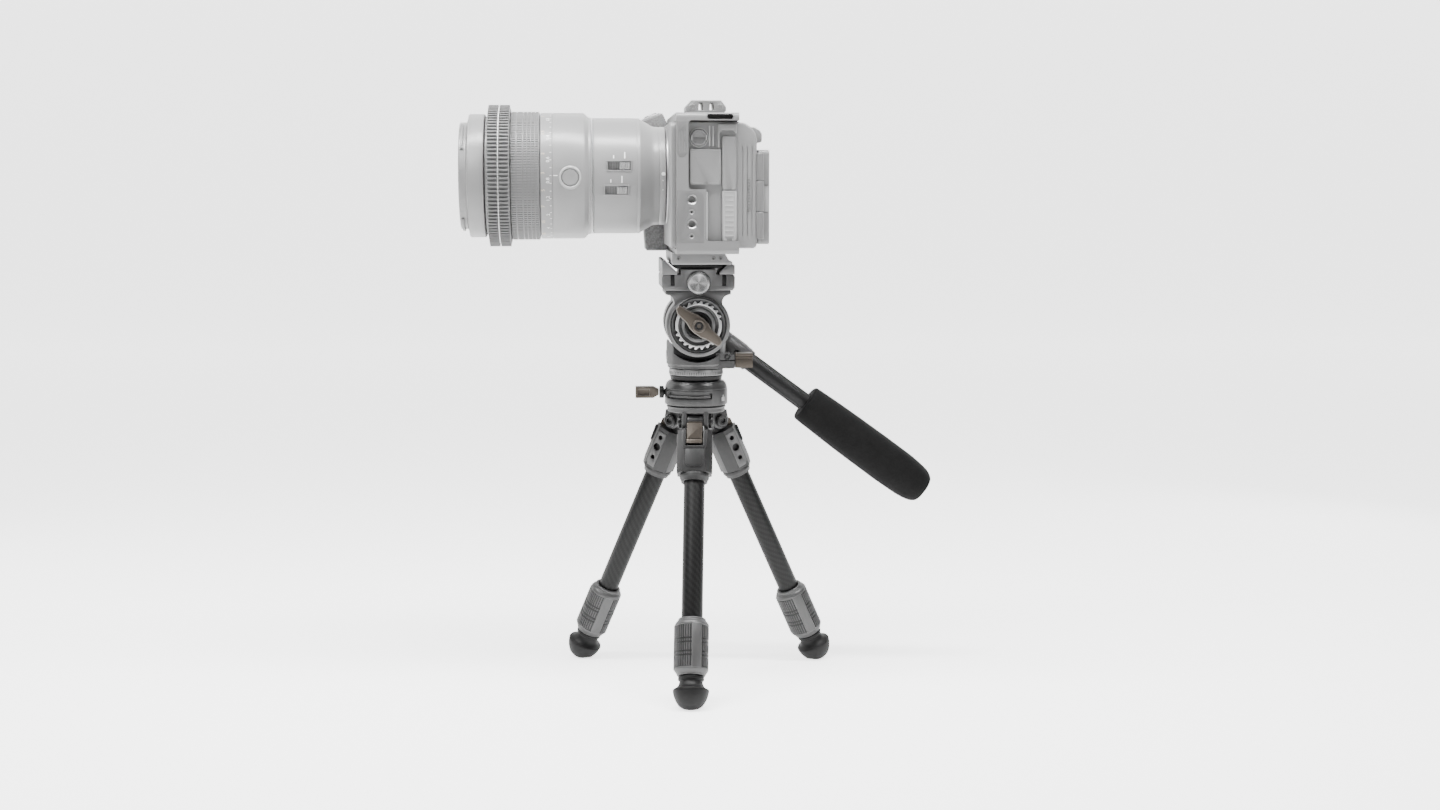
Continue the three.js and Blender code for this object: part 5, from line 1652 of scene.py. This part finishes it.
HOLES = [("near", -6.1, 306.0, 2.1), ("near", -6.1, 291.4, 2.1), ("near", -6.3, 298.7, 0.7),
         ("near", -6.3, 284.1, 0.7)]
HOLES += [("far", x, 346, 1.9) for x in (-8, 3.5, 15)] + [("far", x, 352.6, 0.7) for x in (-2.2, 9.2)]
HOLES += [("top", -10.5, y, 2.1) for y in (-52, -42, 0, 12, 24, 36, 48)]
HOLES += [("top", 19.9, y, 0.9) for y in (-40, 10, 38)]
for face, x, other, radius in HOLES:
    drill(face, x, other, radius)
print("cage holes:", len(HOLES))
foot = slab("cage_foot", [(-17.4, 268.0), (-16.8, 266.1), (19.6, 266.1), (20.4, 266.9), (20.2, 267.8),
                          (18.0, 268.8), (16.6, 271.4), (15.2, 273.4), (-17.4, 273.4)], -39.8, 39.8,
                          along="Y")
soften(foot, 0.5, 3)
weld(cage, foot)
fit(soften(cage, 0.35, 2), CAGE_METAL, "tilt", "camera_cage")

# %% Cage details on the near side
strip = slab("column_strip", rounded((1.2, 279.8), (3.4, 310.6), 0.8, 3), -65.2, -62.0, along="Y")
fit(soften(strip, 0.3), PALE_LIGHT, "tilt")
hook_outline = [(-15.2, 334.0), (-13.6, 331.4), (-10.6, 331.4), (-8.8, 333.6), (-8.8, 352.6), (-15.2, 352.6)]
hook = slab("cage_hook", hook_outline, -66.0, -65.2, along="Y")
for x in (-13.6, -11.9, -10.3):
    cut(hook, block("groove", (x - 0.2, -67, 335), (x + 0.2, -65.8, 347)))
weld(hook, block("pin", (-10.6, -66.0, 340.4), (-9.3, -65.6, 344)))
fit(soften(hook, 0.2), PALE_DARK, "tilt")
side_plate = slab("side_plate", [(-15.2, 280.2), (1.0, 280.2), (1.0, 306.5)]
                  + arc(-3.2, 307.2, 4.2, 0, 90, 6) + [(-15.2, 311.4)], -66.0, -65.6, along="Y")
for x, z, r in ((-6.1, 306.0, 3.1), (-6.1, 291.4, 3.1), (-6.3, 298.7, 1.7), (-6.3, 284.1, 1.7)):
    cut(side_plate, peg("hole", r, -68, -64, "Y", (x, 0, z), 48))
fit(soften(side_plate, 0.15), PALE_DARK, "tilt")
lips = [turned("hole_lip", [(2.2, -0.8), (3.0, 0.0), (2.95, 0.08), (2.1, -0.75), (2.2, -0.8)], 48)
        for _ in range(2)]
for lip, z in zip(lips, (306.0, 291.4)):
    lay(lip, Matrix.Translation(Vector((-6.1, 0, z)) * MM) @ FACES["near"])
fit(together("hole_lips", lips), SILVER, "tilt", slot="pale_body")
foot_bolts = []
for x in (8.5, 13.0, -13.0):
    bolt_profile = [(0, -0.4), (1.5, -0.4), (1.5, 0.1), (1.2, 0.3), (0, 0.3)]
    bolt_place = Matrix.Translation(Vector((x, -39.8, 269.8)) * MM) @ Matrix.Rotation(math.pi / 2, 4, "X")
    foot_bolts.append(lay(socket_screw("foot_bolt", bolt_profile, 0.7, 0, 32), bolt_place))
fit(soften(together("foot_bolts", foot_bolts), 0.06), PALE_DARK, "tilt")

# %% [markdown]
# ## Top rail and cold shoe
# On the cage's roof stands a short hexagonal rail with windows through it and a screw at each end.
# Behind it a cold shoe takes small lamps and microphones: a plate with two folded lips.

# %% Rail and shoe
rail_outline = [(-6.4, 358.25), (15.2, 358.25), (16.9, 360.2), (16.9, 362.4), (13.9, 366.5), (-4.6, 366.5),
                (-7.9, 362.6), (-7.9, 360.4)]
rail = slab("top_rail", rail_outline, -31.8, -8.2, along="Y")
for x in (1.2, 8.0):
    window = [(x - 1.4, 360.6), (x + 1.6, 360.6), (x + 1.0, 365.0), (x - 1.0, 365.0)]
    cut(rail, slab("rail window", window, -34, -6, along="Y"))
cut(rail, slab("rail groove", [(-3, 366.0), (13, 366.0), (13, 367), (-3, 367)], -28, -24, along="Y"))
cut(rail, slab("rail groove", [(-3, 366.0), (13, 366.0), (13, 367), (-3, 367)], -16, -12, along="Y"))
fit(soften(rail, 0.4, 3), CAGE_METAL, "tilt", "cage_top_rail")
rail_screws = []
for x, side in ((-4.0, -1), (12.9, -1), (-4.0, 1), (12.9, 1)):
    rail_profile = [(0, -0.3), (2.1, -0.3), (2.1, 0.15), (1.8, 0.3), (0, 0.25)]
    screw = socket_screw("rail_screw", rail_profile, 0.9, 0.0)
    place = Vector((x, -20 + side * 11.6, 362.3)) * MM
    rail_screws.append(lay(screw, Matrix.Translation(place) @ Matrix.Rotation(-side * math.pi / 2, 4, "X")))
fit(soften(together("rail_screws", rail_screws), 0.06), SILVER, "tilt", slot="pale_body")

shoe = slab("cold_shoe", [(-3.0, 358.0), (-3.0, 361.8), (0.4, 361.8), (0.4, 360.9), (-1.8, 360.9),
                          (-1.8, 359.2), (15.8, 359.2), (15.8, 360.9), (13.6, 360.9), (13.6, 361.8),
                          (17.0, 361.8), (17.0, 358.0)],
            16, 34, along="Y")
fit(soften(shoe, 0.2), SILVER, "tilt", slot="pale_body")

# %% [markdown]
# ## Hand grip
# The grip is a moulded block that leans forward at the top, covered in pebbled rubber. A metal cap on
# its slope carries the shutter button, a smaller round button and a notched dial.

# %% Grip, cap and buttons
grip_outline = [(-29.6, 272.3), (-16.3, 272.3), (-15.6, 273.0), (-15.6, 353.6), (-19.4, 361.6),
                (-31.8, 356.9), (-33.3, 353.5), (-33.2, 349.5), (-31.6, 335), (-29.8, 318), (-31.0, 300),
                (-31.4, 284), (-30.6, 273.4)]
grip = slab("handgrip", grip_outline, 40.7, 63.8, along="Y")
soften(grip, 2.4, 5, 60)
SLOPE_FRAME = Matrix.Translation(Vector((-26.6, 50, 359.3)) * MM) @ Matrix.Rotation(math.radians(-21), 4, "Y")
cut(grip, lay(peg("button well", 4.9, -2.2, 6), SLOPE_FRAME))


def pebbled(name, slot, level):
    """Moulded rubber skin: rounded pebbles, with painted shade in the creases between them."""
    shop = Shop(name, slot)
    shop.place()
    cells = shop.node("TexVoronoi", None, Vector=shop.vector, Scale=0.85)
    pebble = (1 - Value(shop, cells.outputs["Distance"]) * 1.3).clamp()
    dust = shop.noise(8.0, 3.0)
    base = shop.mix(dust, grey(level - 6), grey(level + 8))
    # The creases between pebbles are darkened as painted shade.
    color = shop.mix(pebble, grey(level - 26), base)
    shop.bump(pebble, 0.16, 0.7)
    return shop.finish(color=color, rough=0.56 + dust * 0.1, sheen=0.06)


GRIP_SKIN = pebbled("pebbled rubber", "pale_rubber", 118)
fit(grip, GRIP_SKIN, "tilt", "handgrip")
button_ring = turned("shutter_ring", [(4.95, -1.4), (6.4, -1.4), (6.4, 0.1), (6.0, 0.45), (5.2, 0.45),
                                      (4.95, 0.2), (4.95, -1.4)], 64)
fit(lay(soften(button_ring, 0.08), SLOPE_FRAME), PALE_LIGHT, "tilt")
shutter = turned("shutter", [(0, -0.9), (4.4, -0.9), (4.55, -0.7), (4.55, 0.7), (4.1, 1.2), (2.6, 1.35),
                             (1.2, 1.2), (0, 1.15)], 64)
fit(lay(soften(shutter, 0.05), SLOPE_FRAME), SILVER, "shutter", "shutter_button", slot="pale_body")
small_button = turned("record_button", [(0, -0.8), (1.9, -0.8), (1.9, 0.35), (1.6, 0.6), (0, 0.5)], 40)
small_frame = SLOPE_FRAME @ Matrix.Translation(Vector((3.6, 9.0, 0.2)) * MM)
fit(lay(soften(small_button, 0.08), small_frame), PALE_DARK, "tilt")
front_dial = slab("front_dial", gear_outline(3.3, 3.7, 30, 0.45, 0.12), -3.6, 3.6, along="Z")
dial_frame = Matrix.Translation(Vector((-31.0, 52, 352.2)) * MM) @ Matrix.Rotation(math.pi / 2, 4, "X")
fit(lay(soften(front_dial, 0.1), dial_frame), PALE_DARK, "tilt", slot="pale_rubber")

# %% [markdown]
# ## Screen
# The back screen is a slim slab on an upright hinge. It has a raised frame, a dark glass set in it, a
# pull notch in its near edge, and soft round corners. Beside it on the back sit a wheel and buttons.

# %% Screen and hinge
screen = slab("rear_screen", rounded((-55.6, 278.9), (32.8, 336.0), 2.6), 34.4, 41.5, along="X")
soften(screen, 0.7, 4)
cut(screen, slab("glass bay", rounded((-49, 284), (26, 331.5), 1.6), 41.0, 43, along="X"))
cut(screen, block("pull notch", (38.0, -57, 298), (42.5, -54.6, 315)))
cut(screen, block("edge groove", (36.6, -57, 280), (37.0, -55.1, 335)))
fit(soften(screen, 0.15), PALE, "screen", "rear_screen")
notch_plate = block("notch_plate", (38.2, -55.2, 298.6), (41.0, -54.5, 314.4))
fit(soften(notch_plate, 0.2), PALE_LIGHT, "screen")


def screen_glass():
    shop = Shop("screen glass", "pale_body")
    _, y, z = shop.place(HERE)
    edge = ((abs(y + 11.5) - 34.6).clamp() + (abs(z - 307.7) - 21.4).clamp()).clamp()
    smear = shop.noise(16.0, 4.0)
    panel = shop.mix(smear, grey(66, -0.02), grey(84, -0.02))
    color = shop.mix(edge, panel, grey(48))
    return shop.finish(color=color, rough=0.08 + smear * 0.1, coat=0.9, coat_rough=0.03)


SCREEN_GLASS = screen_glass()
pane = slab("screen_pane", rounded((-48.7, 284.3), (25.7, 331.2), 1.4), 40.8, 41.3, along="X")
fit(soften(pane, 0.1), SCREEN_GLASS, "screen", slot="pale_body")
knuckles = []
for low, high in ((282.2, 298.4), (298.8, 317.2), (317.6, 333.8)):
    barrel = turned("knuckle", [(0, low), (2.1, low), (2.5, low + 0.4), (2.5, high - 0.4), (2.1, high),
                                (0, high)], 48)
    knuckles.append(barrel)
hinge = together("screen_hinge", knuckles)
lay(hinge, Matrix.Translation(Vector((35.2, -59.2, 0)) * MM))
fit(soften(hinge, 0.1), PALE_DARK, "screen", "screen_hinge")

# %% Back buttons, wheel and finder
back = []
for y, z, r in ((40.5, 330, 2.6), (52, 330, 2.6), (40.5, 291, 2.6), (52, 291, 2.6), (55, 345, 2.2),
                (45, 345, 2.2), (-54, 343.5, 2.2)):
    cap = turned("back_button", [(0, -0.6), (r, -0.6), (r, 0.6), (r - 0.5, 1.1), (0, 1.0)], 40)
    depth = 33.4 if z < 342 else 31.6
    back.append(lay(cap, Matrix.Translation(Vector((depth, y, z)) * MM)
                    @ Matrix.Rotation(math.pi / 2, 4, "Y")))
fit(soften(together("back_buttons", back), 0.08), PALE_LIGHT, "tilt")
WHEEL_TURN = Matrix.Translation(Vector((33.3, 46.5, 310)) * MM) @ Matrix.Rotation(math.pi / 2, 4, "Y")
wheel = slab("back_wheel", gear_outline(9.0, 9.4, 60, 0.45, 0.12), 0, 1.8, along="Z")
cut(wheel, peg("middle", 4.4, 0.8, 3, "Z"))
fit(lay(soften(wheel, 0.12), WHEEL_TURN), PALE_DARK, "tilt")
centre = turned("wheel_centre", [(0, 0), (3.9, 0), (3.9, 1.6), (3.4, 2.0), (0, 1.9)], 48)
fit(lay(soften(centre, 0.08), WHEEL_TURN), PALE_LIGHT, "tilt")
finder = slab("finder_cup", rounded((-24, 341.2), (-4, 349.0), 2.6, 4), 36.9, 37.75, along="X")
cut(finder, slab("eye", rounded((-21, 342.8), (-7, 347.6), 1.8, 4), 36, 39, along="X"))
fit(soften(finder, 0.2), GRIP_SKIN, "tilt")
eye = slab("finder_eye", rounded((-21.2, 342.6), (-6.8, 347.8), 1.8, 4), 36.9, 37.3, along="X")
fit(soften(eye, 0.05), SCREEN_GLASS, "tilt", slot="pale_body")

# %% Plate under the camera
plate = slab("camera_plate", [(-14.4, 263.05), (14.4, 263.05), (17.2, 265.5), (17.2, 265.7), (-17.2, 265.7),
                              (-17.2, 265.5)], -24.8, 24.8, along="Y")
for y in (-14, 14):
    cut(plate, peg("plate hole", 2.6, 262, 264.4, "Z", (0, y, 0)))
fit(soften(plate, 0.2), BLACK_METAL, "tilt", "camera_plate")

# %% [markdown]
# ## Floor, light and camera
# The object stands on a pale floor that turns up into a pale wall. Large soft lights come from the
# upper left, the front and behind, which gives the metal long smooth reflections. The paper glows,
# and it glows brighter to the camera than to the object, so that the wall is white and the dark
# metals stay dark.

# %% Floor, light and camera
floor = pen("floor", [Vector((0, -5.0, 0)), Vector((0, 2.7, 0))]
            + [Vector((0, 2.7 + 0.9 * math.sin(a), 0.9 - 0.9 * math.cos(a))) for a in
               [math.radians(9 * i) for i in range(1, 11)]] + [Vector((0, 3.6, 4.4))])
bpy.ops.mesh.select_all(action="SELECT")
bpy.ops.transform.translate(value=(-6, 0, 0))
bpy.ops.mesh.extrude_region_move(TRANSFORM_OT_translate={"value": (12, 0, 0)})
leave()
mend(floor)
bpy.ops.object.shade_smooth_by_angle(angle=math.radians(60))


def backdrop_paper():
    shop = Shop("backdrop paper", "backdrop")
    shop.place()
    fibre = shop.noise(6.0, 2.0)
    color = shop.mix(fibre, grey(250), grey(252))
    seen = Value(shop, shop.node("LightPath", None).outputs["Is Camera Ray"])
    glow = shop.mix(seen, grey(180), color)
    return shop.finish(color=color, rough=0.75, **{"Emission Color": glow, "Emission Strength": 2.6})


floor.data.materials.append(backdrop_paper())

# The room lights the object faintly, and the camera sees it as the same white as the wall.
world = bpy.data.worlds.new("studio")
world.use_nodes = True
air, links = world.node_tree.nodes, world.node_tree.links
room = air["Background"]
room.inputs["Color"].default_value = (1, 1, 1, 1)
seen = air.new("ShaderNodeMapRange")
seen.inputs["To Min"].default_value, seen.inputs["To Max"].default_value = 0.2, 3.0
links.new(air.new("ShaderNodeLightPath").outputs["Is Camera Ray"], seen.inputs["Value"])
links.new(seen.outputs["Result"], room.inputs["Strength"])
bpy.context.scene.world = world

TARGET = Vector((AXIS_X, AXIS_Y, 0.19))


def soft_light(name, place, size, power, aim=TARGET):
    clear()
    bpy.ops.object.light_add(type="AREA", location=Vector(place) * MM + Vector((AXIS_X, AXIS_Y, 0)))
    lamp = bpy.context.object
    lamp.name = name
    lamp.data.shape = "RECTANGLE"
    lamp.data.size, lamp.data.size_y = size[0] * MM, size[1] * MM
    lamp.data.energy = power
    lamp.rotation_euler = (aim - lamp.location).to_track_quat("-Z", "Y").to_euler()
    return lamp


HIGH_ON_LENS = Vector((AXIS_X - 0.05, AXIS_Y, 0.32))
soft_light("key", (-520, -640, 800), (420, 420), 3.4)
soft_light("lens strip", (-60, -150, 760), (1000, 80), 16.0, HIGH_ON_LENS)
soft_light("fill", (760, -620, 300), (300, 620), 1.2)
soft_light("top", (0, 80, 1050), (760, 560), 1.4)
soft_light("rim left", (-760, 380, 380), (260, 700), 1.8)
soft_light("rim right", (640, 560, 460), (300, 700), 1.8)

CAMERA_PLACE = Vector((-73.5, -1270.3, 311.8)) * MM
CAMERA_TURN = Euler((math.radians(83.86), 0, math.radians(-4.0)))
clear()
bpy.ops.object.camera_add(location=CAMERA_PLACE + Vector((AXIS_X, AXIS_Y, 0)), rotation=CAMERA_TURN)
camera = bpy.context.object
camera.name = "camera"
camera.data.lens = 50
camera.data.sensor_width = 36
camera.data.clip_start = 0.05
bpy.context.scene.camera = camera
print("pieces:", len(TALLY), "faces:", sum(count for _, count in TALLY))

# %% [markdown]
# ## Closing update
# The view layer is brought up to date once more.

# %% Update
bpy.context.view_layer.update()
